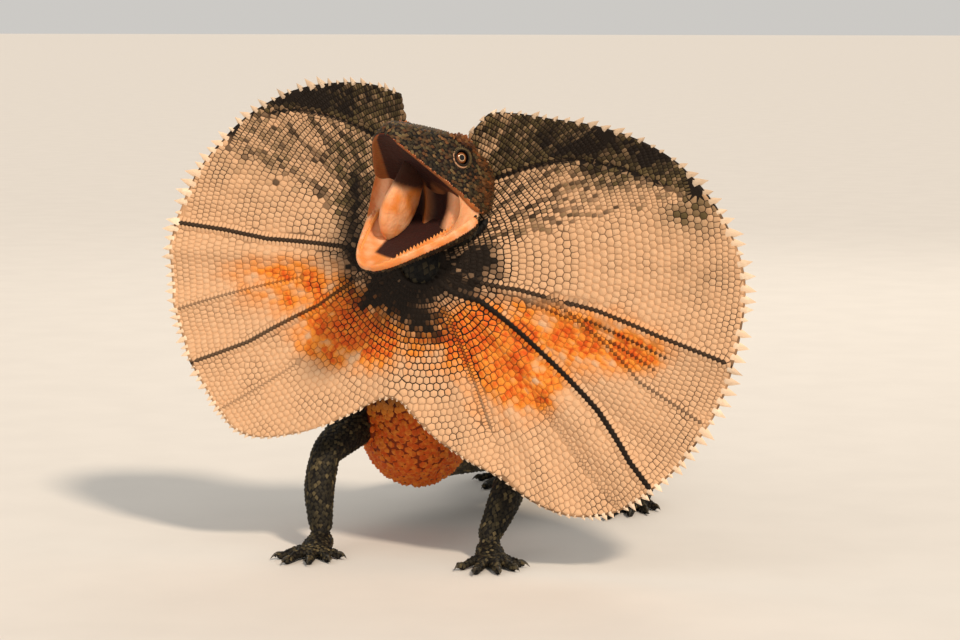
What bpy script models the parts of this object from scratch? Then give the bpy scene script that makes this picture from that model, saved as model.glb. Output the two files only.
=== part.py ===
"""A frilled lizard, life size, standing with its frill spread and its mouth wide open.

Metres, +Z up. The lizard faces -Y, its left side is +X, and it stands on Z = 0. Sizes below
are in millimetres and degrees. The origin is under the middle of the whole animal.
"""

import math
import random

import bpy
import bmesh
from mathutils import Matrix, Vector

MM = 0.001
GAP = 0.3        # clearance between parts that touch
FLOOR_FLAT = 0.3  # a foot's underside lower than this is pressed flat on the floor
TAIL_FLAT = 1.3   # and the tail's underside
SEED = 11

# Head: the hinge is midway between the corners of the mouth
HINGE = Vector((7.0, -18.0, 151.5))
HEAD_YAW, HEAD_PITCH, HEAD_ROLL = -11.2, -7.5, 9.6
UPPER_TILT, LOWER_TILT = 27.5, -35.5   # the jaws over and under the head's own line

# Cranium with the upper jaw: distance ahead of the hinge, half width, height, underside,
# height of the roof of the mouth over the lips
CRANIUM = (
    (-25, 9.0, 20.0, 15.5, 0.0),
    (-20, 14.5, 24.0, 13.0, 0.0),
    (-13, 19.5, 26.4, 8.6, 0.0),
    (-6, 22.5, 27.2, 4.2, 0.3),
    (0, 24.6, 27.0, 0.8, 2.0),
    (8, 24.4, 26.4, 0.0, 4.0),
    (16, 22.0, 25.4, 0.0, 4.6),
    (24, 18.6, 23.2, 0.0, 4.6),
    (32, 14.8, 18.6, 0.0, 4.0),
    (40, 11.0, 14.2, 0.0, 3.2),
    (46, 7.8, 11.0, 0.0, 2.2),
    (50, 4.4, 7.0, 0.6, 0.9),
)
# Half a section of the cranium: share of the half width, share of the height, millimetres
# added above, and share of the roof's height
CRANIUM_SECTION = (
    (0.00, 0.00, 0.0, 1.00),
    (0.50, 0.00, 0.0, 0.85),
    (0.82, 0.00, 0.0, 0.25),
    (0.95, 0.00, -0.6, 0.00),
    (1.00, 0.07, 0.6, 0.00),
    (0.93, 0.30, 0.0, 0.00),
    (0.84, 0.60, 0.0, 0.00),
    (0.70, 0.90, 0.6, 0.00),
    (0.40, 0.96, 0.0, 0.00),
    (0.00, 0.97, 0.0, 0.00),
)

# Lower jaw: distance ahead of the hinge, half width, depth, hollow of the mouth's floor
JAW = (
    (-3, 24.5, 13.0, 1.0),
    (4, 24.6, 12.4, 2.4),
    (12, 22.8, 11.2, 3.4),
    (20, 19.6, 10.0, 3.6),
    (28, 16.0, 8.6, 3.4),
    (36, 12.2, 7.4, 3.0),
    (42, 8.8, 6.2, 2.2),
    (47, 4.6, 4.2, 0.8),
)
JAW_SECTION = (
    (0.00, 0.00, 0.0, 1.00),
    (0.50, 0.00, 0.0, 0.95),
    (0.80, 0.00, 0.0, 0.35),
    (0.91, 0.00, 0.7, 0.00),
    (1.00, 0.10, 0.0, 0.00),
    (0.98, 0.48, 0.0, 0.00),
    (0.72, 0.88, 0.0, 0.00),
    (0.36, 0.98, 0.0, 0.00),
    (0.00, 1.00, 0.0, 0.00),
)
JAW_TEETH = 15           # on each side
TOOTH_FROM, TOOTH_TO = 9.0, 43.0
TOOTH_HEIGHT, TOOTH_RADIUS = 2.1, 0.85

# Eyes: ahead of the hinge, to the side, above the lips, all on the cranium
EYE_AHEAD, EYE_SIDE, EYE_UP = 18.0, 13.6, 13.9
EYE_RADIUS, SOCKET_RADIUS, LID_RADIUS = 4.9, 5.2, 6.4
LID_OPENING = 3.1
EYE_GAZE = (0.82, -0.55, 0.02)   # direction that the left eye looks in
# Brow ridge over each eye: ahead, to the side, up, and its half sizes
BROW_AT, BROW_HALF = (17.5, 14.2, 20.2), (3.4, 8.5, 3.4)
NOSTRIL_AHEAD, NOSTRIL_SIDE, NOSTRIL_UP, NOSTRIL_RADIUS = 43.5, 8.2, 6.2, 1.0
EAR_BEHIND, EAR_SIDE, EAR_UP, EAR_RADIUS = 9.0, 26.2, 13.0, 4.0

# Lining of the mouth, between the jaws
LINING_HALF_WIDTH = 23.5
LINING_SHARE = 0.97      # of the lower jaw's width
LINING_REACH_MID, LINING_REACH_SIDE = 6.0, 17.5
LINING_FRONT_MID, LINING_FRONT_SIDE = 2.0, 11.5
LINING_BACK = -2.5

# Tongue, in the head's frame: ahead, to the left, up, and its half sizes
TONGUE_AT = (15.5, -2.0, -3.0)
TONGUE_HALF = (11.5, 8.6, 15.0)

# Spine from the back of the head to the tip of the tail:
# x, y, z, half width, half height
SPINE = (
    (9.0, -6.0, 150.0, 20.0, 17.0),
    (4.0, 7.0, 140.0, 19.0, 17.5),
    (-6.0, 22.0, 117.0, 16.5, 16.0),
    (-18.0, 34.0, 88.0, 18.0, 18.0),
    (-27.0, 46.0, 51.0, 21.5, 25.5),
    (-31.0, 76.0, 44.5, 24.5, 23.0),
    (-26.0, 110.0, 42.0, 27.5, 22.5),
    (-15.0, 144.0, 39.0, 26.5, 21.5),
    (-3.0, 174.0, 33.5, 22.5, 19.5),
    (5.0, 200.0, 26.5, 17.0, 16.5),
    (9.0, 228.0, 17.5, 13.5, 13.5),
    (8.0, 260.0, 11.5, 11.6, 11.9),
    (-3.0, 302.0, 9.6, 10.0, 10.0),
    (-22.0, 352.0, 7.9, 8.3, 8.3),
    (-43.0, 410.0, 6.3, 6.7, 6.7),
    (-58.0, 470.0, 4.9, 5.3, 5.3),
    (-64.0, 525.0, 3.7, 4.1, 4.1),
    (-61.0, 575.0, 2.7, 3.1, 3.1),
    (-53.0, 622.0, 1.8, 2.2, 2.2),
    (-47.0, 664.0, 1.0, 1.4, 1.4),
)
SPINE_SIDES = 20
TAIL_SIDES = 12
# Where the spine is parted, as places in the list above: name, first, last, rings
TRUNK_PARTS = (
    ("neck", 0.0, 3.4, 9),
    ("chest", 3.4, 5.6, 8),
    ("torso", 5.6, 8.3, 9),
    ("tail_1", 8.3, 11.5, 11),
    ("tail_2", 11.5, 13.5, 8),
    ("tail_3", 13.5, 15.5, 8),
    ("tail_4", 15.5, 17.5, 8),
    ("tail_5", 17.5, 19.0, 7),
)

# Legs: points down the upper and the lower length of each, as x, y, z, radius
FORELEG_RIGHT = (((-36, 60, 55, 9.0), (-44, 34, 53, 9.6), (-50.5, 6, 42, 6.2)),
                 ((-50.5, 6, 42, 6.0), (-52, 2, 27, 6.2), (-50.5, 0, 10, 4.6)))
FORELEG_LEFT = (((-10, 60, 53, 9.0), (16, 42, 49, 9.6), (31, 21, 38, 6.6)),
                ((31, 21, 38, 6.4), (29, 13, 25, 6.6), (24.5, 5, 10, 4.6)))
HINDLEG_RIGHT = (((-12, 178, 34, 13.0), (-34, 180, 32, 12.4), (-50, 190, 26, 8.0)),
                 ((-50, 190, 26, 7.6), (-48, 214, 17, 7.4), (-37, 238, 8.6, 4.9)))
HINDLEG_LEFT = (((8, 174, 34, 13.0), (28, 154, 33, 12.4), (44, 138, 27, 8.0)),
                ((44, 138, 27, 7.6), (47, 156, 17, 7.4), (40, 177, 8.6, 4.9)))
LEG_SIDES = 12

# Feet: heading in degrees from straight ahead, turning to the lizard's left, palm length,
# and toes as (heading from the palm, length, radius)
HAND_TOES = ((-52, 13, 1.9), (-24, 19, 2.0), (-4, 24, 2.1), (16, 25, 2.1), (42, 17, 1.9))
FOOT_TOES = ((-40, 15, 2.0), (-20, 23, 2.1), (-6, 31, 2.2), (6, 41, 2.3), (40, 21, 2.0))
HAND_PALM, FOOT_PALM = 12.0, 24.0
CLAW_LENGTH, CLAW_RADIUS = 5.6, 1.15
HAND_HEADINGS = {"left": 24.0, "right": 12.0}
FOOT_HEADINGS = {"left": 8.0, "right": 4.0}

# Frill: a shallow dish round a centre, its edge as (angle, radius), angles running clockwise
# from the top of the left lobe, seen from in front of the lizard
FRILL_CENTRE = Vector((0.0, 0.0, 126.0))
FRILL_YAW, FRILL_PITCH = 2.0, -5.0
FRILL_EDGE = (
    (70, 58), (66, 68), (58, 73.5), (48, 81), (39, 92), (30, 104.5), (21, 117), (10, 128.5),
    (0, 136.5), (-10, 138.5), (-22, 139.5), (-34, 138), (-43, 135.5), (-50, 131.5),
    (-56, 124), (-62, 111.5), (-68, 95), (-75, 84.5), (-84, 74), (-92, 64.5), (-99, 59),
    (-107, 61), (-115, 71), (-122, 83.5), (-128, 95), (-134, 106), (-139, 111), (-150, 112),
    (-162, 113.5), (-174, 114), (-186, 113.5), (-198, 109.5), (-207, 105.5), (-215, 102),
    (-224, 96.5), (-234, 90), (-244, 83), (-252, 77.5), (-260, 71.5),
)
FRILL_ROOT_RADIUS = 9.0
FRILL_RINGS = (0.0, 0.16, 0.34, 0.55, 0.78, 1.0)
FRILL_COARSE_RINGS = 2    # the rings nearest the root have half as many columns
FRILL_THICK_ROOT, FRILL_THICK_EDGE = 3.0, 1.3
FRILL_DISH = 9.0          # how far the edge stands ahead of the centre
FUNNEL_AHEAD, FUNNEL_RADIUS = 13.0, 32.0   # the middle comes forward to the chin
EDGE_SPINE_PITCH = 5.7
# Heights of the edge's spines along it: angle, height
SPINE_HEIGHTS = ((70, 1.6), (52, 2.6), (30, 3.0), (0, 3.8), (-25, 4.2), (-45, 3.0),
                 (-60, 1.6), (-100, 0.9), (-135, 1.2), (-160, 2.2), (-190, 3.6),
                 (-225, 3.2), (-250, 2.4), (-260, 1.8))
# Folds raised in the membrane over its ribs: angle, height, half width in degrees
FOLDS = ((28, -4.0, 7.0), (-16.5, 3.2, 3.6), (-31, 1.6, 3.0), (-43, 3.6, 3.6),
         (-58, 1.6, 3.2), (-72, 1.4, 3.0), (-146, 1.4, 3.0), (-157, 3.2, 3.4),
         (-170, 1.6, 3.0), (-181, 3.4, 3.6), (-215, -4.0, 8.0))
# Parts of the frill: name, first and last angle
FRILL_PARTS = (
    ("frill_upper_left", 70, -16.5),
    ("frill_lower_left", -16.5, -100),
    ("frill_lower_right", -100, -157),
    ("frill_upper_right", -157, -260),
)

MATERIALS = {
    "scaly_skin": ("4A4535", 0.62),
    "dark_skin": ("2C2A22", 0.6),
    "frill_skin": ("D2A67C", 0.66),
    "chest_skin": ("8C4A22", 0.6),
    "mouth_skin": ("C4704E", 0.42),
    "tongue": ("E0A27A", 0.38),
    "eye": ("5E3A1E", 0.12),
}


def smooth_between(points, place):
    """Catmull-Rom value at a place counted in points, for tuples of numbers."""
    last = len(points) - 1
    place = min(max(place, 0.0), float(last))
    i = min(int(place), last - 1)
    t = place - i
    p0, p1 = points[max(i - 1, 0)], points[i]
    p2, p3 = points[i + 1], points[min(i + 2, last)]
    return tuple(
        0.5 * (2 * b + (c - a) * t + (2 * a - 5 * b + 4 * c - d) * t * t
               + (3 * b - a - 3 * c + d) * t ** 3)
        for a, b, c, d in zip(p0, p1, p2, p3)
    )


def value_at(table, x):
    """The value at x in a table of (x, value) whose x runs down, along a smooth curve."""
    if x >= table[0][0]:
        return table[0][1]
    for i in range(len(table) - 1):
        if table[i + 1][0] <= x:
            share = (table[i][0] - x) / (table[i][0] - table[i + 1][0])
            return smooth_between([(row[1],) for row in table], i + share)[0]
    return table[-1][1]


def head_matrix(tilt=0.0):
    """Frame of the head at the hinge, tilted up by an angle for a jaw."""
    turn = (Matrix.Rotation(math.radians(HEAD_YAW), 4, "Z")
            @ Matrix.Rotation(math.radians(HEAD_PITCH), 4, "X")
            @ Matrix.Rotation(math.radians(HEAD_ROLL), 4, "Y")
            @ Matrix.Rotation(math.radians(-tilt), 4, "X"))
    return Matrix.Translation(HINGE) @ turn


def make_material(name):
    hex_colour, rough = MATERIALS[name]
    material = bpy.data.materials.new(name)
    material.use_nodes = True
    shader = material.node_tree.nodes["Principled BSDF"]
    srgb = [int(hex_colour[i:i + 2], 16) / 255 for i in (0, 2, 4)]
    linear = [c / 12.92 if c <= 0.04045 else ((c + 0.055) / 1.055) ** 2.4 for c in srgb]
    shader.inputs["Base Color"].default_value = (*linear, 1.0)
    shader.inputs["Roughness"].default_value = rough
    shader.inputs["Metallic"].default_value = 0.0
    return material


def new_object(name, bm):
    """A mesh object from a bmesh given in millimetres, with its faces turned outwards."""
    bmesh.ops.recalc_face_normals(bm, faces=bm.faces)
    mesh = bpy.data.meshes.new(name)
    bm.to_mesh(mesh)
    bm.free()
    obj = bpy.data.objects.new(name, mesh)
    WORK.objects.link(obj)
    return obj


def loft(name, rings):
    """A closed body through rings of points, with a fan at each end."""
    bm = bmesh.new()
    rows = [[bm.verts.new(p) for p in ring] for ring in rings]
    count = len(rows[0])
    for a, b in zip(rows, rows[1:]):
        for j in range(count):
            k = (j + 1) % count
            bm.faces.new((a[j], a[k], b[k], b[j]))
    for row in (rows[0], rows[-1]):
        middle = bm.verts.new(sum((v.co for v in row), Vector()) / count)
        for j in range(count):
            bm.faces.new((row[j], row[(j + 1) % count], middle))
    return new_object(name, bm)


def oval_rings(points, places, sides, end_trim=0.0):
    """Rings round a smooth line of (x, y, z, half width, half height) points."""
    rings = []
    side = None
    for n, place in enumerate(places):
        here = smooth_between(points, place)
        ahead = Vector(smooth_between(points, place + 0.05)[:3])
        behind = Vector(smooth_between(points, place - 0.05)[:3])
        along = (ahead - behind).normalized()
        centre = Vector(here[:3])
        if n == 0:
            centre = centre + along * end_trim
        if n == len(places) - 1:
            centre = centre - along * end_trim
        if side is None:
            side = along.cross(Vector((0, 0, 1)))
        side = (side - along * side.dot(along)).normalized()
        up = side.cross(along)
        rings.append([
            centre + side * here[3] * math.cos(a) + up * here[-1] * math.sin(a)
            for a in (2 * math.pi * j / sides for j in range(sides))
        ])
    return rings


def press_on_floor(obj, below=FLOOR_FLAT):
    """Whatever reaches near or below the floor becomes a flat on it."""
    for vertex in obj.data.vertices:
        if vertex.co.z < below:
            vertex.co.z = 0.0


def evaluated_copy(obj):
    graph = bpy.context.evaluated_depsgraph_get()
    return bpy.data.meshes.new_from_object(obj.evaluated_get(graph))


def apply_modifiers(obj):
    bpy.context.view_layer.update()
    mesh = evaluated_copy(obj)
    obj.modifiers.clear()
    obj.data = mesh


def keep_largest(obj):
    """Drop every closed surface but the one with the most faces."""
    bm = bmesh.new()
    bm.from_mesh(obj.data)
    bmesh.ops.remove_doubles(bm, verts=bm.verts, dist=0.001)
    islands, seen = [], set()
    for start in bm.verts:
        if start in seen:
            continue
        island, stack = set(), [start]
        while stack:
            v = stack.pop()
            if v in island:
                continue
            island.add(v)
            stack.extend(e.other_vert(v) for e in v.link_edges)
        seen |= island
        islands.append(island)
    islands.sort(key=len, reverse=True)
    for island in islands[1:]:
        bmesh.ops.delete(bm, geom=list(island), context="VERTS")
    bmesh.ops.triangulate(bm, faces=[f for f in bm.faces if len(f.verts) > 3])
    bm.to_mesh(obj.data)
    bm.free()


def swollen(obj, by=GAP):
    """A copy of an object, thicker by a clearance on every side."""
    bm = bmesh.new()
    bm.from_mesh(obj.data)
    bm.normal_update()
    moved = [(v, v.co + v.normal * by * min(v.calc_shell_factor(), 2.0)) for v in bm.verts]
    for v, place in moved:
        v.co = place
    mesh = bpy.data.meshes.new("cutter")
    bm.to_mesh(mesh)
    bm.free()
    copy = bpy.data.objects.new("cutter", mesh)
    CUTTERS.objects.link(copy)
    copy.hide_render = True
    copy.display_type = "WIRE"
    return copy


def boolean(obj, others, operation, solver="EXACT"):
    """Cut or join an object with others, which are used up."""
    group = bpy.data.collections.new("group")
    for other in others:
        group.objects.link(other)
    modifier = obj.modifiers.new(operation.lower(), "BOOLEAN")
    modifier.operation = operation
    modifier.operand_type = "COLLECTION"
    modifier.collection = group
    modifier.solver = solver
    apply_modifiers(obj)
    for other in others:
        bpy.data.objects.remove(other)
    bpy.data.collections.remove(group)
    keep_largest(obj)


def cut_clear(obj, neighbours, solver="EXACT"):
    """Trim an object so that it meets each neighbour with the clearance between them."""
    for neighbour in neighbours:
        boolean(obj, [swollen(neighbour)], "DIFFERENCE", solver)


def ball(name, matrix, at, half_sizes, segments=16):
    bm = bmesh.new()
    bmesh.ops.create_uvsphere(bm, u_segments=segments, v_segments=segments // 2 + 2, radius=1.0)
    size = Matrix.Diagonal((*half_sizes, 1.0))
    bmesh.ops.transform(bm, matrix=matrix @ Matrix.Translation(at) @ size, verts=bm.verts)
    return new_object(name, bm)


def cone(name, base, tip, radius, sides=5, tip_radius=0.0):
    """A cone from its base to its tip."""
    axis = tip - base
    bm = bmesh.new()
    bmesh.ops.create_cone(bm, cap_ends=True, segments=sides, radius1=radius,
                          radius2=tip_radius, depth=axis.length)
    turn = axis.to_track_quat("Z", "Y").to_matrix().to_4x4()
    bmesh.ops.transform(bm, matrix=Matrix.Translation((base + tip) / 2) @ turn, verts=bm.verts)
    return new_object(name, bm)


def finish(obj, material):
    """Put a finished part in its collection, in metres, with its material."""
    obj.data.transform(Matrix.Scale(MM, 4))
    WORK.objects.unlink(obj)
    PARTS.objects.link(obj)
    obj.data.materials.clear()
    obj.data.materials.append(material)
    obj.data.shade_smooth()
    obj.data.set_sharp_from_angle(angle=math.radians(50))


def jaw_rings(stations, section, upwards):
    """Rings of a jaw in its own frame, from the section's half and its mirror image."""
    rings = []
    for station in stations:
        if upwards:
            ahead, wide, high, under, roof = station
            half = [(x * wide, under + z * (high - under) + extra + r * roof)
                    for x, z, extra, r in section]
        else:
            ahead, wide, deep, hollow = station
            half = [(x * wide, -z * deep + extra - r * hollow) for x, z, extra, r in section]
        ring = [Vector((x, -ahead, z)) for x, z in half]
        ring += [Vector((-x, -ahead, z)) for x, z in reversed(half[1:-1])]
        rings.append(ring)
    return rings


def subdivide(obj):
    modifier = obj.modifiers.new("smooth", "SUBSURF")
    modifier.levels = 1
    modifier.render_levels = 1
    apply_modifiers(obj)


def make_cranium():
    frame = head_matrix(UPPER_TILT)
    obj = loft("head", jaw_rings(CRANIUM, CRANIUM_SECTION, True))
    subdivide(obj)
    obj.data.transform(frame)
    lids, cuts = [], []
    for side in (1, -1):
        eye = Vector((side * EYE_SIDE, -EYE_AHEAD, EYE_UP))
        outwards = Vector((side * EYE_GAZE[0], *EYE_GAZE[1:])).normalized()
        lids.append(ball("lid", frame, eye, (LID_RADIUS,) * 3, 14))
        brow = Vector((side * BROW_AT[1], -BROW_AT[0], BROW_AT[2]))
        lids.append(ball("brow", frame, brow, BROW_HALF, 12))
        cuts.append(ball("socket", frame, eye, (SOCKET_RADIUS,) * 3))
        inner, outer = frame @ eye, frame @ (eye + outwards * 9.0)
        cuts.append(cone("opening", inner, outer, LID_OPENING * 0.8, 10, LID_OPENING * 1.25))
        nose = Vector((side * NOSTRIL_SIDE, -NOSTRIL_AHEAD, NOSTRIL_UP))
        cuts.append(ball("nostril", frame, nose, (NOSTRIL_RADIUS * 1.6,) * 3, 8))
        ear = Vector((side * EAR_SIDE, EAR_BEHIND, EAR_UP))
        cuts.append(ball("ear", frame, ear, (EAR_RADIUS * 0.6, EAR_RADIUS, EAR_RADIUS), 12))
    boolean(obj, lids, "UNION")
    boolean(obj, cuts, "DIFFERENCE")
    return obj


def make_eyes():
    frame = head_matrix(UPPER_TILT)
    eyes = []
    for name, side in (("eye_left", 1), ("eye_right", -1)):
        at = Vector((side * EYE_SIDE, -EYE_AHEAD, EYE_UP))
        eyes.append(ball(name, frame, at, (EYE_RADIUS,) * 3, 12))
    return eyes


def make_lower_jaw(head):
    frame = head_matrix(LOWER_TILT)
    obj = loft("lower_jaw", jaw_rings(JAW, JAW_SECTION, False))
    subdivide(obj)
    obj.data.transform(frame)
    teeth = []
    rng = random.Random(SEED)
    for side in (1, -1):
        for n in range(JAW_TEETH):
            ahead = TOOTH_FROM + (TOOTH_TO - TOOTH_FROM) * n / (JAW_TEETH - 1)
            wide = value_at([(-s[0], s[1]) for s in JAW], -ahead)
            at = Vector((side * wide * 0.86, -ahead, 0.0))
            high = TOOTH_HEIGHT * rng.uniform(0.8, 1.15)
            base, tip = at - Vector((0, 0, 1.4)), at + Vector((0, 0, high))
            teeth.append(cone("tooth", frame @ base, frame @ tip, TOOTH_RADIUS, 4))
    boolean(obj, teeth, "UNION", "MANIFOLD")
    cut_clear(obj, [head])
    return obj


def make_mouth_lining(head, jaw):
    """The wedge of soft mouth between the jaws, hollow in the middle of its front."""
    half = math.radians(UPPER_TILT - LOWER_TILT) / 2
    across, up_steps = 13, 7
    bm = bmesh.new()
    front, back = [], []
    for i in range(across):
        x = LINING_HALF_WIDTH * (2 * i / (across - 1) - 1)
        share = abs(x / LINING_HALF_WIDTH) ** 3
        reach = LINING_REACH_MID + (LINING_REACH_SIDE - LINING_REACH_MID) * share
        deep = LINING_FRONT_MID + (LINING_FRONT_SIDE - LINING_FRONT_MID) * share
        extra = 5.5 * (1 - share) + 1.0
        front_row, back_row = [], []
        for j in range(up_steps):
            v = 2 * j / (up_steps - 1) - 1
            ahead = deep + (reach * math.cos(half) - deep) * v * v
            high = v * (reach * math.sin(half) + extra)
            wide = value_at([(-s[0], s[1]) for s in JAW], -math.hypot(ahead, high) - 1.0)
            side = x / LINING_HALF_WIDTH * wide * LINING_SHARE
            front_row.append(bm.verts.new((side, -ahead, high)))
            back_row.append(bm.verts.new((x, -LINING_BACK, high * 0.35)))
        front.append(front_row)
        back.append(back_row)
    for rows, flip in ((front, False), (back, True)):
        for i in range(across - 1):
            for j in range(up_steps - 1):
                quad = (rows[i][j], rows[i + 1][j], rows[i + 1][j + 1], rows[i][j + 1])
                bm.faces.new(quad if not flip else quad[::-1])
    for i in range(across - 1):
        for j in (0, up_steps - 1):
            bm.faces.new((front[i][j], front[i + 1][j], back[i + 1][j], back[i][j]))
    for j in range(up_steps - 1):
        for i in (0, across - 1):
            bm.faces.new((front[i][j], front[i][j + 1], back[i][j + 1], back[i][j]))
    obj = new_object("mouth_lining", bm)
    obj.data.transform(head_matrix())
    cut_clear(obj, [head, jaw])
    return obj


def make_tongue(head, jaw, lining):
    ahead, left, up = TONGUE_AT
    half = (TONGUE_HALF[1], TONGUE_HALF[0], TONGUE_HALF[2])
    obj = ball("tongue", head_matrix(), Vector((left, -ahead, up)), half, 14)
    cut_clear(obj, [jaw, head, lining])
    return obj


def make_trunk():
    """Neck, chest, torso and tail, parted along the spine."""
    parts = {}
    for name, first, last, rings in TRUNK_PARTS:
        sides = TAIL_SIDES if name.startswith("tail") else SPINE_SIDES
        places = [first + (last - first) * n / (rings - 1) for n in range(rings)]
        obj = loft(name, oval_rings(SPINE, places, sides, GAP / 2))
        if name.startswith("tail"):
            press_on_floor(obj, TAIL_FLAT)
        parts[name] = obj
    return parts


def limb(name, points):
    """A rounded length of a leg through points of x, y, z, radius."""
    ovals = [(x, y, z, r, r) for x, y, z, r in points]
    last = len(points) - 1.0
    rings = oval_rings(ovals, [last * n / 6 for n in range(7)], LEG_SIDES)
    for ring, inner, at in ((rings[0], rings[1], 0), (rings[-1], rings[-2], len(rings) + 1)):
        middle = sum(ring, Vector()) / len(ring)
        outwards = (middle - sum(inner, Vector()) / len(inner)).normalized()
        reach = (ring[0] - middle).length
        rings.insert(at, [middle + (p - middle) * 0.62 + outwards * reach * 0.55 for p in ring])
    return loft(name, rings)


def make_leg(names, points, trunk, foot):
    """Upper length, lower length and foot, each cut clear of what carries it."""
    upper = limb(names[0], points[0])
    lower = limb(names[1], points[1])
    cut_clear(upper, trunk)
    cut_clear(lower, [upper])
    end = make_foot(names[2], Vector(points[1][-1][:3]), *foot)
    cut_clear(end, [lower])
    return [upper, lower, end]


def heading_vector(degrees):
    """Unit vector on the floor, from straight ahead, turning to the lizard's left."""
    turn = math.radians(degrees)
    return Vector((math.sin(turn), -math.cos(turn), 0.0))


def make_foot(name, ankle, heading, palm_length, toes, radius):
    """A palm under the ankle, with its toes and claws fused to it."""
    forward = heading_vector(heading)
    ankle = Vector((ankle.x, ankle.y, 0)) + forward * 1.5
    knuckles = ankle + forward * palm_length
    palm = [(*(ankle - forward * 6 + Vector((0, 0, 3.2))), radius * 0.6, 3.2),
            (*(ankle - forward * 3 + Vector((0, 0, 4.0))), radius * 0.95, 4.4),
            (*(ankle + forward * palm_length * 0.4 + Vector((0, 0, 3.8))), radius * 1.15, 4.2),
            (*(knuckles + Vector((0, 0, 2.7))), radius * 1.2, 3.0),
            (*(knuckles + forward * 3.5 + Vector((0, 0, 2.1))), radius * 0.8, 2.0)]
    foot = loft(name, oval_rings(palm, [n * 2 / 3 for n in range(7)], 10))
    pieces = []
    spread = forward.cross(Vector((0, 0, 1)))
    for n, (turn, length, thick) in enumerate(toes):
        way = heading_vector(heading - turn)
        place = (n - (len(toes) - 1) / 2) / len(toes)
        start = knuckles - spread * place * radius * -2.0 - way * 3.0
        up = Vector((0, 0, 1))
        line = [(*(start + up * 2.6), thick * 1.15, thick * 1.1),
                (*(start + way * length * 0.35 + up * 3.2), thick, thick),
                (*(start + way * length * 0.7 + up * 2.1), thick * 0.92, thick * 0.9),
                (*(start + way * length + up * 1.4), thick * 0.8, thick * 0.8)]
        pieces.append(loft("toe", oval_rings(line, (0, 1, 2, 3), 6)))
        claw_root = start + way * (length - 1.5) + up * 1.9
        claw = [(*claw_root, CLAW_RADIUS, CLAW_RADIUS),
                (*(claw_root + way * CLAW_LENGTH * 0.5 + up * 0.7),
                 CLAW_RADIUS * 0.75, CLAW_RADIUS * 0.75),
                (*(claw_root + way * CLAW_LENGTH - up * 1.1), 0.25, 0.25)]
        pieces.append(loft("claw", oval_rings(claw, (0, 1, 2), 5)))
    boolean(foot, pieces, "UNION", "MANIFOLD")
    press_on_floor(foot)
    return foot


def frill_point(angle, radius, lift=0.0):
    """A point on the frill's middle surface, at an angle and a distance from its centre."""
    edge = value_at(FRILL_EDGE, angle)
    share = radius / edge
    ahead = FRILL_DISH * share * share + FUNNEL_AHEAD * math.exp(-(radius / FUNNEL_RADIUS) ** 2)
    for at, height, wide in FOLDS:
        near = math.exp(-((angle - at) / wide) ** 2)
        ahead += height * near * min(share * 1.6, 1.0) * (1.0 - 0.35 * share)
    turn = math.radians(angle)
    flat = Vector((math.cos(turn) * radius, -ahead - lift, math.sin(turn) * radius))
    frame = (Matrix.Rotation(math.radians(FRILL_YAW), 3, "Z")
             @ Matrix.Rotation(math.radians(FRILL_PITCH), 3, "X"))
    return FRILL_CENTRE + frame @ flat


def edge_columns(first, last):
    """Angles along the edge, one for each valley between two spines, evenly spaced."""
    steps = 400
    angles = [first + (last - first) * n / steps for n in range(steps + 1)]
    points = [frill_point(a, value_at(FRILL_EDGE, a)) for a in angles]
    length = [0.0]
    for a, b in zip(points, points[1:]):
        length.append(length[-1] + (b - a).length)
    count = 2 * max(2, round(length[-1] / EDGE_SPINE_PITCH / 2))
    columns, n = [], 0
    for k in range(count + 1):
        want = length[-1] * k / count
        while n < steps - 1 and length[n + 1] < want:
            n += 1
        share = (want - length[n]) / (length[n + 1] - length[n])
        columns.append(angles[n] + (angles[n + 1] - angles[n]) * min(share, 1.0))
    return columns


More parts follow.
